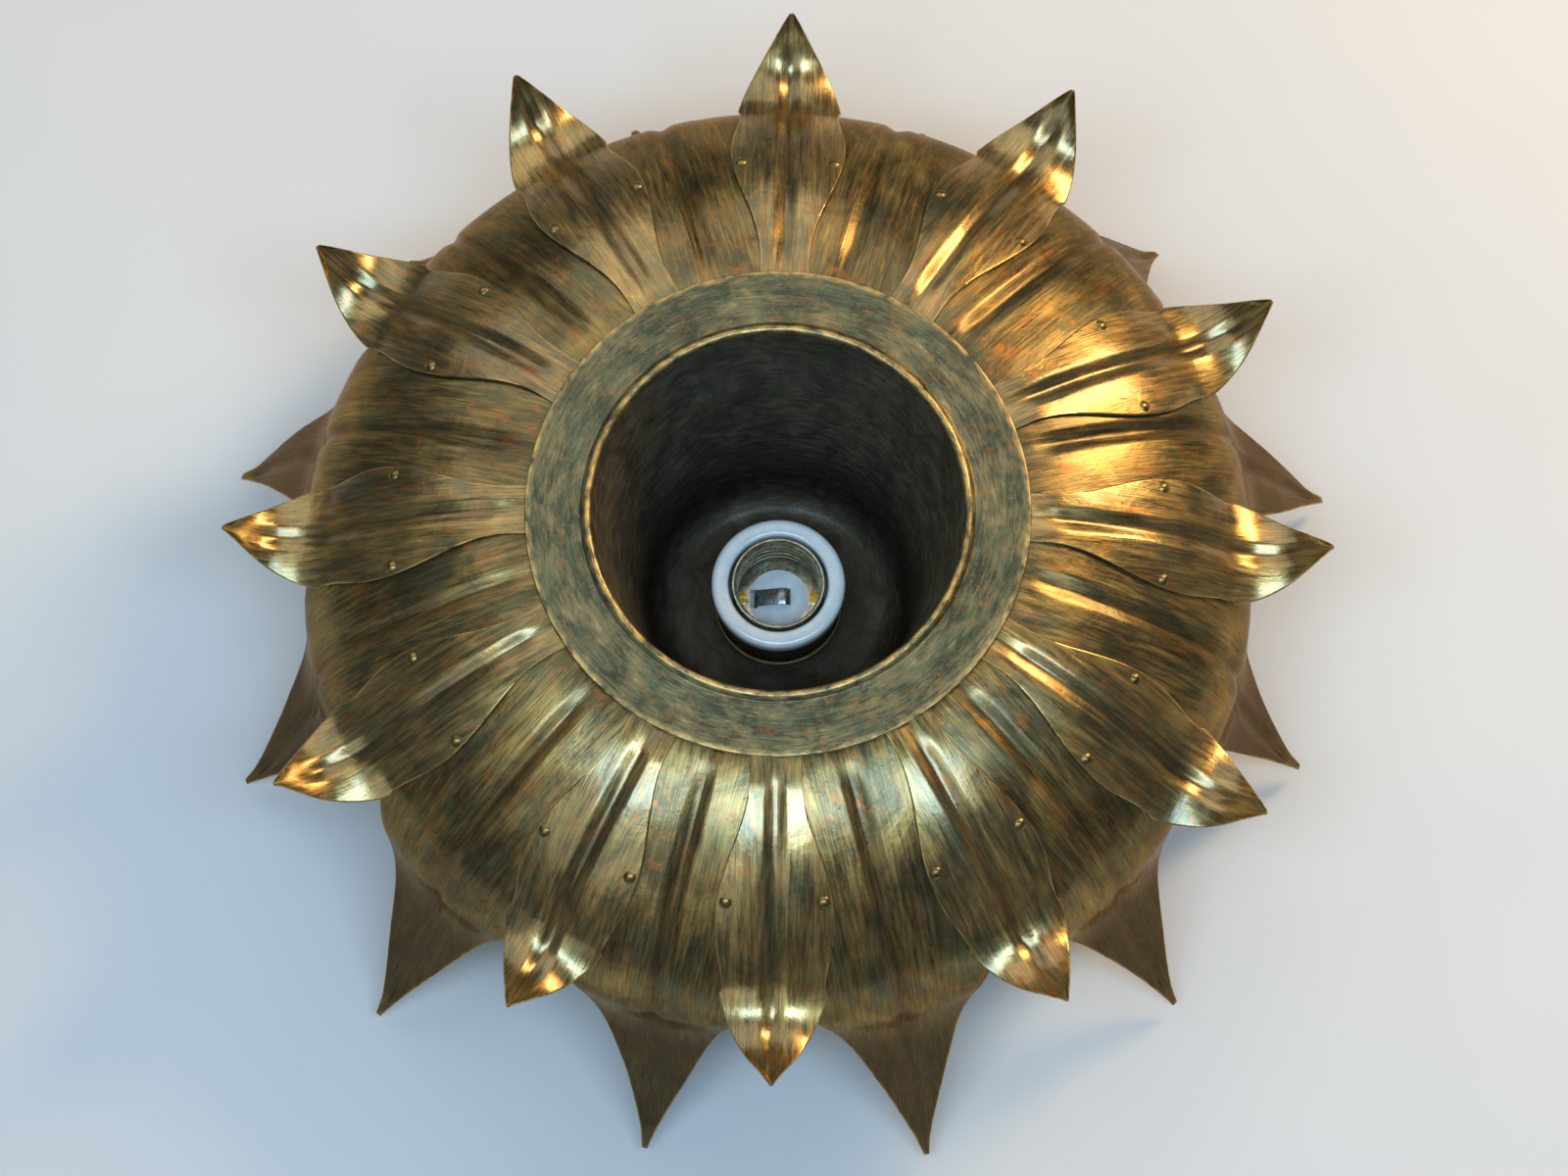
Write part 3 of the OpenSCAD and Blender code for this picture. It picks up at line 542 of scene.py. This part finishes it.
def front_outline(path):
    """Half width of a front petal at each row."""
    r = path[:, 0]
    inner = cosine(FRONT_ROOT_HALF, FRONT_HALF, (r - FRONT_NARROW_R) / (FRONT_WIDE_R - FRONT_NARROW_R))
    outer = cosine(FRONT_HALF, FRONT_TIP_HALF, (r - FRONT_WIDE_R) / (FRONT_TIP_R - FRONT_WIDE_R))
    along_tip = np.clip((r - FRONT_TIP_R) / (r[-1] - FRONT_TIP_R), 0, 1)
    tip = FRONT_TIP_HALF * (1 - along_tip ** FRONT_TIP_CURVE) + BLUNT
    return np.where(r < FRONT_WIDE_R, inner, np.where(r < FRONT_TIP_R, outer, tip))


def back_outline(path):
    """Half width of a back petal at each row, never more than its share of the circle."""
    r, z = path[:, 0], path[:, 1]
    side = PARTING_HALF * ((z - z[-1]) / (PARTING_Z - z[-1])) ** BACK_SIDE_CURVE
    return np.minimum(side + BLUNT, r * math.sin(SHARE))


def columns(half, vein):
    """Sideways places across one row, from the left edge to the right one, and the vein's share there."""
    edge = min(1.6, half * 0.22)
    inner = [q * vein for q, _ in VEIN_SHAPE]
    outer = list(np.linspace(inner[-1], half - edge, 9)[1:])
    outer += [half - edge * 0.5, half - edge * 0.22, half]
    side = inner + outer
    depth = [share for _, share in VEIN_SHAPE] + [0.0] * len(outer)
    y = np.array([-v for v in side[:0:-1]] + side)
    return y, np.array(depth[:0:-1] + depth)


def node_angle(name):
    """Angle of a petal's tip about the lamp's axis, from its CAD node."""
    mesh = NODES[name].data
    flat = np.empty(len(mesh.vertices) * 3, np.float32)
    mesh.vertices.foreach_get("co", flat)
    flat = flat.reshape(-1, 3)
    far = np.hypot(flat[:, 0], flat[:, 1])
    tip = flat[far > far.max() - 0.0002].mean(axis=0)
    return math.atan2(tip[1], tip[0])


def sheet_petal(name, stands_for, path, half, shape, material, slot, seed, lean, reach):
    """Pressed sheet petal: outer face, rolled edges and inner face lofted along the path."""
    angle = node_angle(stands_for)
    points, grain, wear, hollow = [], [], [], []
    total = path[-1, 3]
    for (r, z, heading, s), w in zip(path, half):
        y, share = columns(w, min(VEIN_HALF, 0.46 * w))
        # The shape also gives the painted shade, with dark patina in the vein, that goes into the hollow
        # field
        push, dirt_and_shade = shape(s / total, s, y / w, share, seed)
        depth = 0.12 * smooth(9, 16, s) * smooth(0, 0.06, 1 - s / total)
        push = push + [depth * wobble(yy / 7, s / 16, z / 30, seed) for yy in y]
        pulled = float(smooth(0.5, 0.85, s / total))
        turn = np.arcsin(np.clip(y / r, -1, 1)) - math.radians(lean) * pulled
        r += reach * pulled
        normal = np.stack([-math.sin(heading) * np.cos(turn), -math.sin(heading) * np.sin(turn),
                           np.full_like(y, math.cos(heading))], 1)
        outer = np.stack([r * np.cos(turn), r * np.sin(turn), np.full_like(y, z)], 1) + normal * push[:, None]
        inner = outer - normal * SHEET_T
        lip = np.array([0, min(0.14, w * 0.08), 0])
        right = [outer[-1] - normal[-1] * SHEET_T * f + lip for f in (0.22, 0.5, 0.78)]
        left = [outer[0] - normal[0] * SHEET_T * f - lip for f in (0.78, 0.5, 0.22)]
        points += [*outer, *right, *inner[::-1], *left]
        edge_gap = w - np.abs(y)
        end_gap = total - s
        rub = np.maximum(1 - smooth(0.05, 0.45, edge_gap), 1 - smooth(0.3, 2.0, end_gap)) * 0.55
        rub = rub * smooth(6, 9, s)
        wear += [*rub, 0.5, 0.5, 0.5, *(rub[::-1] * 0.6), 0.5, 0.5, 0.5]
        hollow += [*dirt_and_shade, *[0] * (len(y) + 6)]
        grain += [(v, s, seed * 61.0) for v in y] + [(w, s, seed * 61.0)] * 3
        grain += [(v, s, seed * 61.0 + 30) for v in y[::-1]] + [(-w, s, seed * 61.0)] * 3
    rows = len(path)
    loop = len(points) // rows
    wide = (loop - 6) // 2
    faces = [f[::-1] for f in loft_faces(rows, loop)]
    for base, flip in ((0, False), ((rows - 1) * loop, True)):
        across = base + 2 * wide + 2
        ends = [(base + j, base + j + 1, across - 1 - j, across - j) for j in range(wide - 1)]
        ends.append(tuple(base + wide - 1 + j for j in range(5)))
        ends.append((base, across, *[across + 1 + j for j in range(3)]))
        faces += [f[::-1] for f in ends] if flip else ends
    points = np.array(points) @ np.array(Matrix.Rotation(-angle, 3, "Z"))
    fields = {"grain": grain, "wear": wear, "hollow": hollow}
    return piece(name, points, faces, material, stands_for=(stands_for,), slot=slot, fields=fields, sharp=50)


def front_shape(t, s, u, share, seed):
    """How far a front petal is pressed out of its plain bend across one row, and how much painted shade, with
    dark patina, its vein gets there.
    """
    vein = share * (0.25 + 0.75 * smooth(9, 20, s)) * (1 - smooth(0.84, 0.93, t))
    crown = (0.7 * smooth(12, 45, s) + 1.1 * smooth(FOLD - 10, FOLD + 8, s)) * (1 - u * u)
    crown = crown * (1 - smooth(FOLD + 20, FOLD + 34, s))
    spoon = (0.9 * u * u + 0.3) * smooth(FOLD + 18, FOLD + 35, s)
    ripple = 0.3 * abs(wobble(s / 14, 2.0, 0.5, seed)) * u ** 4 * smooth(12, 30, s)
    return crown + spoon + ripple + 0.5 * smooth(9, 16, s) - VEIN_DEPTH * vein, vein


def back_shape(t, s, u, share, _seed):
    """The same for a back petal."""
    vein = share * (0.25 + 0.75 * smooth(9, 20, s)) * (1 - 0.3 * smooth(SWEEP, SWEEP + 20, s))
    vein = vein * (1 - smooth(0.93, 0.99, t))
    crown = 0.8 * smooth(84, 104, s) * (1 - smooth(SWEEP, SWEEP + 24, s)) * (1 - u * u)
    curl = 1.2 * smooth(0.93, 1.0, t) ** 2
    # Painted shade on the tip, which lies in the shade of the petal's belly
    tip_shade = 0.9 * smooth(SWEEP - 14, SWEEP + 12, s) * (1 - 0.6 * smooth(0.93, 0.98, t))
    return crown + curl - VEIN_DEPTH * vein, np.maximum(0.55 * vein, tip_shade)


front_path = bend_path(LAND_R, FRONT_LAND_Z, FRONT_STRETCHES)
back_path = bend_path(LAND_R, BACK_LAND_Z, BACK_STRETCHES)
for k in range(PETALS):
    number = f"{k + 1:02d}"
    sheet_petal(f"gilt_front_petal_{number}", f"front_petal_{number}", front_path, front_outline(front_path),
                front_shape, front_gilt, "front_gilt", k + 1, FRONT_LEAN[k], FRONT_REACH[k])
    sheet_petal(f"gilt_back_petal_{number}", f"back_petal_{number}", back_path, back_outline(back_path),
                back_shape, back_gilt, "back_gilt", k + 21, BACK_LEAN[k], BACK_REACH[k])


# ---------------------------------------------------------------- ring, cup and rivets

BEAD_RING_R = 53.9
RING_R = high("trim_ring")[0]


def ring_rub(r, z):
    on_bead = float(np.hypot(r - BEAD_RING_R, z - RIM_Z + BEAD_DROP) < BEAD_R + 0.1 and z > RIM_Z - 0.6)
    return max(0.5 * on_bead, 0.6 * float(smooth(RING_R - 0.7, RING_R - 0.3, r)))


ring_corners = arc((BEAD_RING_R, RIM_Z - BEAD_DROP), BEAD_R, -40, -322, 26) + [
    (BEAD_RING_R + 1.9, RIM_Z - 0.05, 0.5), (63, RIM_Z - 0.12, 0), (RING_R, RIM_Z, 0.35),
    (RING_R, RIM_Z - 1.4, 0.15), (RING_R - 0.8, RIM_Z - 1.4, 0.15), (RING_R - 0.8, RIM_Z - 0.8, 0.1),
    (BEAD_RING_R + 1.3, RIM_Z - 0.8, 0),
]
lathe("gilt_trim_ring", ring_corners, ring_gilt, segments=240, spacing=1.4, dent=0.1, dent_size=13, seed=5,
      run=2.0, rub=ring_rub, stands_for=("trim_ring",), slot="ring_gilt")

FLOOR_Z = low("cup")[2] + SHEET_T
FLANGE_Z = high("cup")[2]
CUP_R = 53.0
TAPER = math.tan(math.radians(8))


def cup_r(z, outside=0.0):
    return CUP_R - TAPER * (FLANGE_Z - z) + outside


def cup_floor_shade(z):
    """Painted shade deep in the cup: full on the floor, fading out up the wall."""
    return 1 - float(smooth(FLOOR_Z + 6, FLOOR_Z + 45, z))


lathe("bronze_cup", [
    (60, FLANGE_Z, 0), (CUP_R, FLANGE_Z, 0.4), (cup_r(FLOOR_Z), FLOOR_Z, 10), (5.2, FLOOR_Z, 0),
    (5.2, FLOOR_Z - SHEET_T, 0), (cup_r(FLOOR_Z - SHEET_T, 0.808), FLOOR_Z - SHEET_T, 10.8),
    (cup_r(FLANGE_Z - SHEET_T, 0.808), FLANGE_Z - SHEET_T, 0.2), (60, FLANGE_Z - SHEET_T, 0),
], cup_bronze, segments=160, spacing=2.6, dent=0.14, dent_size=17, seed=9, run=2.5, dirt_and_shade=cup_floor_shade,
      stands_for=("cup",), slot="cup_bronze")

rivet_row = int(np.argmin(abs(front_path[:, 0] - RIVET_R)))
rivet_heading = front_path[rivet_row, 2]
RIVET_PROFILE = [
    (0, 0.95), (0.5, 0.9), (1.0, 0.75), (1.45, 0.5), (1.8, 0.22), (1.95, 0.05), (1.9, -0.05), (1.2, -0.1),
    (1.2, -1.85), (2.0, -1.9), (2.0, -2.35), (1.7, -2.55), (0, -2.6),
]
rivet_parts = []
for k in range(1, PETALS + 1):
    for side in (-1, 1):
        spin = Matrix.Rotation(node_angle(f"front_petal_{k:02d}") + side * math.radians(RIVET_TURN), 4, "Z")
        shift = Matrix.Translation((front_path[rivet_row, 0], 0, front_path[rivet_row, 1]))
        tip_over = Matrix.Rotation(-rivet_heading, 4, "Y")
        lift = Matrix.Translation((0, 0, 0.5 + 0.1 * wobble(k, side, 0.4, 3)))
        rivet_parts.append(turned(RIVET_PROFILE, 24, spin @ shift @ tip_over @ lift))
piece("domed_petal_rivets", *joined(rivet_parts), rivet_gilt, stands_for=("petal_rivets",), slot="rivet_gilt")


# ---------------------------------------------------------------- lampholder

MOUTH_Z = high("porcelain_mouth")[2]
BASE_Z = high("contact_base")[2]
CAP_Z = low("holder_cap")[2]

lathe("porcelain_ring", [
    (14.9, BASE_Z, 0.3), (14.9, MOUTH_Z, 1.1), (20, MOUTH_Z, 1.7), (20, MOUTH_Z - 5, 0.7),
    (17.3, MOUTH_Z - 5, 0.2), (17.3, BASE_Z, 0.4),
], porcelain, segments=128, spacing=1.5, dent=0.05, dent_size=8, seed=4, stands_for=("porcelain_mouth",),
      slot="porcelain")

SHELL_LOW, SHELL_HIGH = low("holder_shell")[2], high("holder_shell")[2]
lathe("holder_sleeve", [
    (17.65, SHELL_LOW, 0.15), (18.9, SHELL_LOW, 0.4), (18.9, SHELL_LOW + 1.2, 0.4),
    (18.45, SHELL_LOW + 1.5, 0.3), (18.45, SHELL_HIGH - 2.2, 0.3), (18.9, SHELL_HIGH - 1.7, 0.4),
    (18.9, SHELL_HIGH, 0.4), (17.65, SHELL_HIGH, 0.15),
], dark_brass, segments=128, spacing=1.2, dent=0.03, seed=6, stands_for=("holder_shell",), slot="dark_brass")

lathe("holder_cap_with_bead", [
    (5.05, CAP_Z, 0), (12, CAP_Z, 0.6), (17.6, CAP_Z + 5.5, 1.2), (17.6, CAP_Z + 6.2, 0),
    *arc((17.9, CAP_Z + 7.5), 1.2, -95, 95, 13), (17.6, CAP_Z + 8.9, 0), (17.6, CAP_Z + 12, 0.3),
    (16.6, CAP_Z + 12, 0.3), (16.6, CAP_Z + 9, 0), (15.6, CAP_Z + 9, 0), (15.6, CAP_Z + 6, 0.6),
    (11, CAP_Z + 1.2, 0.6), (5.05, CAP_Z + 1.2, 0),
], bead_brass_painted_highlight, segments=128, spacing=1.2, dent=0.02, seed=7, stands_for=("holder_cap",), slot="brass")

THREAD_PITCH = 3.62
THREAD_ROOT_R = 13.35
THREAD_DEPTH = 1.1
THREAD_T = 0.4
THREAD_LOW = low("thread_shell")[2]
THREAD_HIGH = high("thread_shell")[2]


def thread_rings(segments=144, rows=72):
    """Closed loops of a thin screw shell: floor flange, helical wall and plain ends."""
    points, grain = [], []
    wall_low, wall_high = THREAD_LOW + THREAD_T, THREAD_HIGH
    z_rows = np.linspace(wall_low, wall_high, rows)
    fade = smooth(wall_low + 1.2, wall_low + 3.0, z_rows)
    fade = fade * (1 - smooth(wall_high - 1.6, wall_high - 0.3, z_rows))
    for i in range(segments):
        turn = 2 * math.pi * i / segments
        c, s = math.cos(turn), math.sin(turn)
        wave = 0.5 + 0.5 * np.cos(2 * math.pi * (z_rows / THREAD_PITCH - i / segments))
        inner = THREAD_ROOT_R - THREAD_DEPTH * fade * wave
        loop = [(9.0, THREAD_LOW), (9.0, wall_low)] + list(zip(inner, z_rows))
        loop += [(r + THREAD_T, z) for r, z in zip(inner[::-1], z_rows[::-1])]
        loop.append((THREAD_ROOT_R + THREAD_T, THREAD_LOW))
        points += [(r * c, r * s, z) for r, z in loop]
        grain += [(z, r * c, r * s) for r, z in loop]
    faces = [f[::-1] for f in loft_faces(segments, len(points) // segments, closed_rows=True)]
    return points, faces, {"grain": grain}


screw_points, screw_faces, screw_fields = thread_rings()
piece("helical_thread_shell", screw_points, screw_faces, thread_nickel, stands_for=("thread_shell",),
      slot="thread_brass", fields=screw_fields)


def strip(name, path, thickness, width, material, **place):
    """Bent metal strip: a path in the XZ plane given a thickness and extruded along Y with eased edges."""
    path = np.array(path)
    ways = np.gradient(path, axis=0)
    ways /= np.linalg.norm(ways, axis=1)[:, None]
    side = np.stack([-ways[:, 1], ways[:, 0]], 1) * thickness / 2
    outline = np.concatenate([path + side, (path - side)[::-1]])
    middle = np.concatenate([path, path[::-1]])
    points = []
    for y, keep in ((-width / 2, 0.6), (-width / 2 + 0.15, 1.0), (width / 2 - 0.15, 1.0), (width / 2, 0.6)):
        points += [(x, y, z) for x, z in middle + (outline - middle) * keep]
    loop, span = len(outline), len(path)
    faces = loft_faces(4, loop)
    for base, flip in ((0, True), (3 * loop, False)):
        ends = [(base + j, base + j + 1, base + loop - 2 - j, base + loop - 1 - j) for j in range(span - 1)]
        faces += [f[::-1] for f in ends] if flip else ends
    return piece(name, points, faces, material, **place)


tongue_low, tongue_high = low("centre_contact"), high("centre_contact")
ROOT_X = -7.0
ROOT_Z = BASE_Z + 0.4
TOP_Z = tongue_high[2]
tongue_path = soft_path([
    (ROOT_X, tongue_low[2]), (ROOT_X, ROOT_Z + 0.2), (0.4, TOP_Z - 0.25), (2.3, TOP_Z - 0.25),
    (3.4, TOP_Z - 1.25),
], 0.9)
strip("contact_tongue_strip", tongue_path, 0.5, tongue_high[1] - tongue_low[1], contact_nickel,
      body="contact_tongue", stands_for=("centre_contact",), slot="contact_brass")


# ---------------------------------------------------------------- wiring

def supply_wire(name, node, side, material, slot):
    """Wire from a contact screw over the nipple, down its bore and out to the terminal block."""
    lo, hi = low(node), high(node)
    reach = max(abs(lo[0]), abs(hi[0]))
    top, bottom, end = hi[2] - 1, lo[2] + 1, hi[1]
    route = [
        (side * reach, 0, top), (side * 1.5, 0, top), (side * 1.5, 0, bottom), (side * 1.5, 5, bottom),
        (side * 8, end - 10, bottom), (side * 8, end, bottom),
    ]
    return tube(name, route, 1.0, 2.2, material, stands_for=(node,), slot=slot)


supply_wire("live_wire_run", "live_wire", -1, brown_wire, "brown_wire")
supply_wire("neutral_wire_run", "neutral_wire", 1, blue_wire, "blue_wire")


def striped_wire():
    """Green insulation with yellow stripes that wind slowly round the wire."""
    s = Shader("earth_wire")
    at = s.place()
    stretched = s.scaled(at, 0.25, 0.12, 0.12)
    wind = s.add("TexWave", {"Vector": stretched, "Scale": 1.0, "Distortion": 0.6}, out=1)
    fine = s.noise(s.scaled(at, 4.0, 4.0, 4.0), 3.0)
    colour = s.mix(s.span(wind, 0.45, 0.55), tone("#2f7d3a"), tone("#d8c52c"))
    return s.finish(Base_Color=colour, Roughness=s.span(fine, 0.3, 0.7, 0.35, 0.5), Normal=s.bump(fine, 0.02))


earth_low, earth_high = low("earth_wire"), high("earth_wire")
tube("earth_wire_run", [
    (0, earth_low[1], earth_high[2] - 1), (0, earth_low[1] + 2.5, earth_high[2] - 1),
    (0, earth_high[1] - 6.5, earth_low[2] + 3.5), (0, earth_high[1] - 5, earth_low[2] + 1),
    (0, earth_high[1], earth_low[2] + 1),
], 1.0, 1.6, striped_wire(), stands_for=("earth_wire",), slot="earth_wire")


# ---------------------------------------------------------------- canopy and wall mounting

DRUM_R = high("canopy_drum")[0]
DRUM_LOW, DRUM_HIGH = low("canopy_drum")[2], high("canopy_drum")[2]
SCREW_Z = 7.0
THUMB_TURNS = {"a": 90, "b": 210, "c": 330}


def slot_cutter(turn):
    """Prism through the drum's wall: a slot with a round end, open towards the wall."""
    half = 2.4
    rim = [(-half, -3), (half, -3)]
    rim += [(half * math.cos(a), SCREW_Z + half * math.sin(a)) for a in np.linspace(0, math.pi, 17)]
    points = [(r, y, z) for r in (DRUM_R - 4, DRUM_R + 4) for y, z in rim]
    count = len(rim)
    faces = [tuple(range(count))[::-1], tuple(range(count, 2 * count))]
    faces += [(j, (j + 1) % count, count + (j + 1) % count, count + j) for j in range(count)]
    mesh = bpy.data.meshes.new("slot_cutter")
    spin = Matrix.Rotation(math.radians(turn), 4, "Z")
    mesh.from_pydata([spin @ (Vector(p) * MM) for p in points], [], faces)
    obj = bpy.data.objects.new("slot_cutter", mesh)
    bpy.context.scene.collection.objects.link(obj)
    return obj


def cut(obj, cutters):
    """Takes the cutters' shapes out of obj and deletes them."""
    for cutter in cutters:
        tool = obj.modifiers.new("cut", "BOOLEAN")
        tool.operation = "DIFFERENCE"
        tool.solver = "EXACT"
        tool.object = cutter
    graph = bpy.context.evaluated_depsgraph_get()
    old = obj.data
    made = bpy.data.meshes.new_from_object(obj.evaluated_get(graph))
    obj.modifiers.clear()
    obj.data = made
    made.shade_smooth()
    made.set_sharp_from_angle(angle=math.radians(30))
    bpy.data.meshes.remove(old)
    for cutter in cutters:
        bpy.data.objects.remove(cutter)


drum = lathe("canopy_drum_shell", [
    (5.2, DRUM_HIGH, 0.1), (DRUM_R, DRUM_HIGH, 1.4), (DRUM_R, DRUM_LOW, 0.25), (DRUM_R - 1, DRUM_LOW, 0.25),
    (DRUM_R - 1, DRUM_HIGH - SHEET_T, 0.6), (5.2, DRUM_HIGH - SHEET_T, 0.1),
], dark_brass, segments=144, spacing=4.0, stands_for=("canopy_drum",), slot="dark_brass")
cut(drum, [slot_cutter(turn) for turn in THUMB_TURNS.values()])


def thumbscrew(letter, turn):
    """Knurled screw: plain shank, flutes round the head, a chamfered rim and a shallow dish in its face."""
    node = f"thumbscrew_{letter}"
    head_x = DRUM_R + 0.3
    profile = rounded([
        (0.01, head_x - 7.0, 0), (1.7, head_x - 7.0, 0), (2.0, head_x - 6.6, 0), (2.0, head_x, 0.15),
        (4.4, head_x, 0.1), (5.0, head_x + 0.6, 0.15), (5.0, head_x + 5.3, 0.15), (4.4, head_x + 6.0, 0.2),
        (3.2, head_x + 6.0, 0.2), (2.8, head_x + 5.6, 0.2), (0.01, head_x + 5.6, 0),
    ], 3)
    segments, flutes = 160, 16
    points, faces = turned([(0, profile[0][1])] + [tuple(p) for p in profile[1:-1]] + [(0, profile[-1][1])],
                           segments, Matrix.Identity(4))
    fluted = []
    for x, y, z in points:
        r, angle = math.hypot(x, y), math.atan2(y, x)
        groove = max(0.0, math.cos(flutes * angle)) ** 1.5 * 0.42 * float(smooth(4.3, 4.9, r))
        grow = (r - groove) / r if r > 0.1 else 1.0
        fluted.append((x * grow, y * grow, z))
    lay = Matrix.Rotation(math.radians(turn), 4, "Z") @ Matrix.Translation((0, 0, SCREW_Z))
    lay = lay @ Matrix.Rotation(math.pi / 2, 4, "Y")
    piece(f"knurled_{node}", [lay @ Vector(p) for p in fluted], [f[::-1] for f in faces], brass,
          body=node, stands_for=(node,), slot="brass", sharp=40)


for letter, turn in THUMB_TURNS.items():
    thumbscrew(letter, turn)

grommet = (low("cable_grommet") + high("cable_grommet")) / 2
lathe("rubber_grommet", [
    (4, 0.05, 0.3), (4, 3, 0.5), (8, 3, 0.7), (8, 1.5, 0.15), (5.97, 1.5, 0), (5.97, 0.05, 0.2),
], rubber, segments=64, spacing=0.8, centre=(0, grommet[1]), body="mounting", stands_for=("cable_grommet",),
      slot="rubber")


def finish_node(node, material, bevel=0.0):
    """CAD node that stays: its material, and softly broken edges."""
    obj = NODES[node]
    if not obj.material_slots:
        obj.data.materials.append(material)
    for place in obj.material_slots:
        place.material = material
    if bevel:
        edge = obj.modifiers.new("broken_edges", "BEVEL")
        edge.width = bevel * MM
        edge.segments = 2
        edge.limit_method = "ANGLE"
        edge.angle_limit = math.radians(40)


finish_node("petal_collar", collar_brass)
finish_node("collar_rivets", collar_brass)
finish_node("nipple", brass)
finish_node("nipple_washer", zinc_steel)
finish_node("nipple_nut", brass, 0.15)
finish_node("contact_base", base_ceramic, 0.15)
finish_node("contact_screws", brass, 0.1)
finish_node("terminal_block", block_nylon, 0.2)
finish_node("terminal_sleeves", brass)
finish_node("terminal_screws", zinc_steel, 0.08)
finish_node("block_screw", zinc_steel, 0.12)
finish_node("earth_screw", brass, 0.12)
finish_node("wall_plate", zinc_steel, 0.15)


# ---------------------------------------------------------------- floor, lights and camera

def floor_material():
    s = Shader("pale_floor")
    at = s.place()
    cloud = s.noise(s.scaled(at, 0.004, 0.004, 0.004), 3.0)
    colour = s.mix(s.span(cloud, 0.3, 0.7), tone("#bcc0c4"), tone("#c4c6c6"))
    return s.finish(Base_Color=colour, Roughness=0.6)


FLOOR_HALF = 6.0
floor_mesh = bpy.data.meshes.new("floor")
floor_corners = [(x * FLOOR_HALF, y * FLOOR_HALF, 0) for x, y in ((-1, -1), (1, -1), (1, 1), (-1, 1))]
floor_mesh.from_pydata(floor_corners, [], [(0, 1, 2, 3)])
floor_mesh.materials.append(floor_material())
floor = bpy.data.objects.new("floor", floor_mesh)
bpy.context.scene.collection.objects.link(floor)

CENTRE = Vector((0, 0, RIM_Z * MM))
TILT = math.radians(16.9)
DISTANCE = 1.2
FOCAL_PX = 4350.0
IMAGE = (1600, 1200)
RIM_AT = (794.2, 520.0)


def aim(obj, way):
    obj.rotation_mode = "QUATERNION"
    obj.rotation_quaternion = Vector(way).to_track_quat("-Z", "Y")


def area_light(name, way, distance, size, power, colour, roll=0.0):
    """Soft rectangular light in the direction way from the lamp's rim, facing it."""
    data = bpy.data.lights.new(name, "AREA")
    data.shape = "RECTANGLE"
    data.size, data.size_y = size
    data.energy = power
    data.color = colour
    light = bpy.data.objects.new(name, data)
    bpy.context.scene.collection.objects.link(light)
    way = Vector(way).normalized()
    light.location = CENTRE + way * distance
    aim(light, -way)
    light.rotation_quaternion = light.rotation_quaternion @ Matrix.Rotation(roll, 3, "Z").to_quaternion()
    return light


away = Vector((0, -math.sin(TILT), math.cos(TILT)))
area_light("front_light", away + Vector((0, -0.02, 0)), 1.3, (1.1, 0.34), 16, (0.52, 0.76, 1.0))
area_light("warm_side_light", (0.7, 0.56, 0.62), 1.3, (0.26, 0.8), 16, (1.0, 0.66, 0.32))
area_light("sky_light", (-0.35, 0.95, 1.3), 2.2, (2.4, 2.0), 20, (1.0, 0.97, 0.9))
area_light("floor_light", (-0.9, -1.2, 1.6), 2.6, (1.6, 1.6), 8, (0.9, 1.0, 1.0))

world = bpy.data.worlds.new("studio")
world.use_nodes = True
world.node_tree.nodes["Background"].inputs["Color"].default_value = (0.9, 0.94, 1.0, 1)
world.node_tree.nodes["Background"].inputs["Strength"].default_value = 0.15
bpy.context.scene.world = world
bpy.context.scene.view_settings.view_transform = "Standard"

camera_data = bpy.data.cameras.new("camera")
camera_data.sensor_width = 36
camera_data.lens = FOCAL_PX * 36 / IMAGE[0]
camera_data.clip_start = 0.05
camera = bpy.data.objects.new("camera", camera_data)
bpy.context.scene.collection.objects.link(camera)
camera.location = CENTRE + away * DISTANCE
up = Vector((0, math.cos(TILT), math.sin(TILT)))
across = Vector((1, 0, 0))
look = -away * FOCAL_PX + across * (IMAGE[0] / 2 - RIM_AT[0]) - up * (IMAGE[1] / 2 - RIM_AT[1])
aim(camera, look)
bpy.context.scene.camera = camera
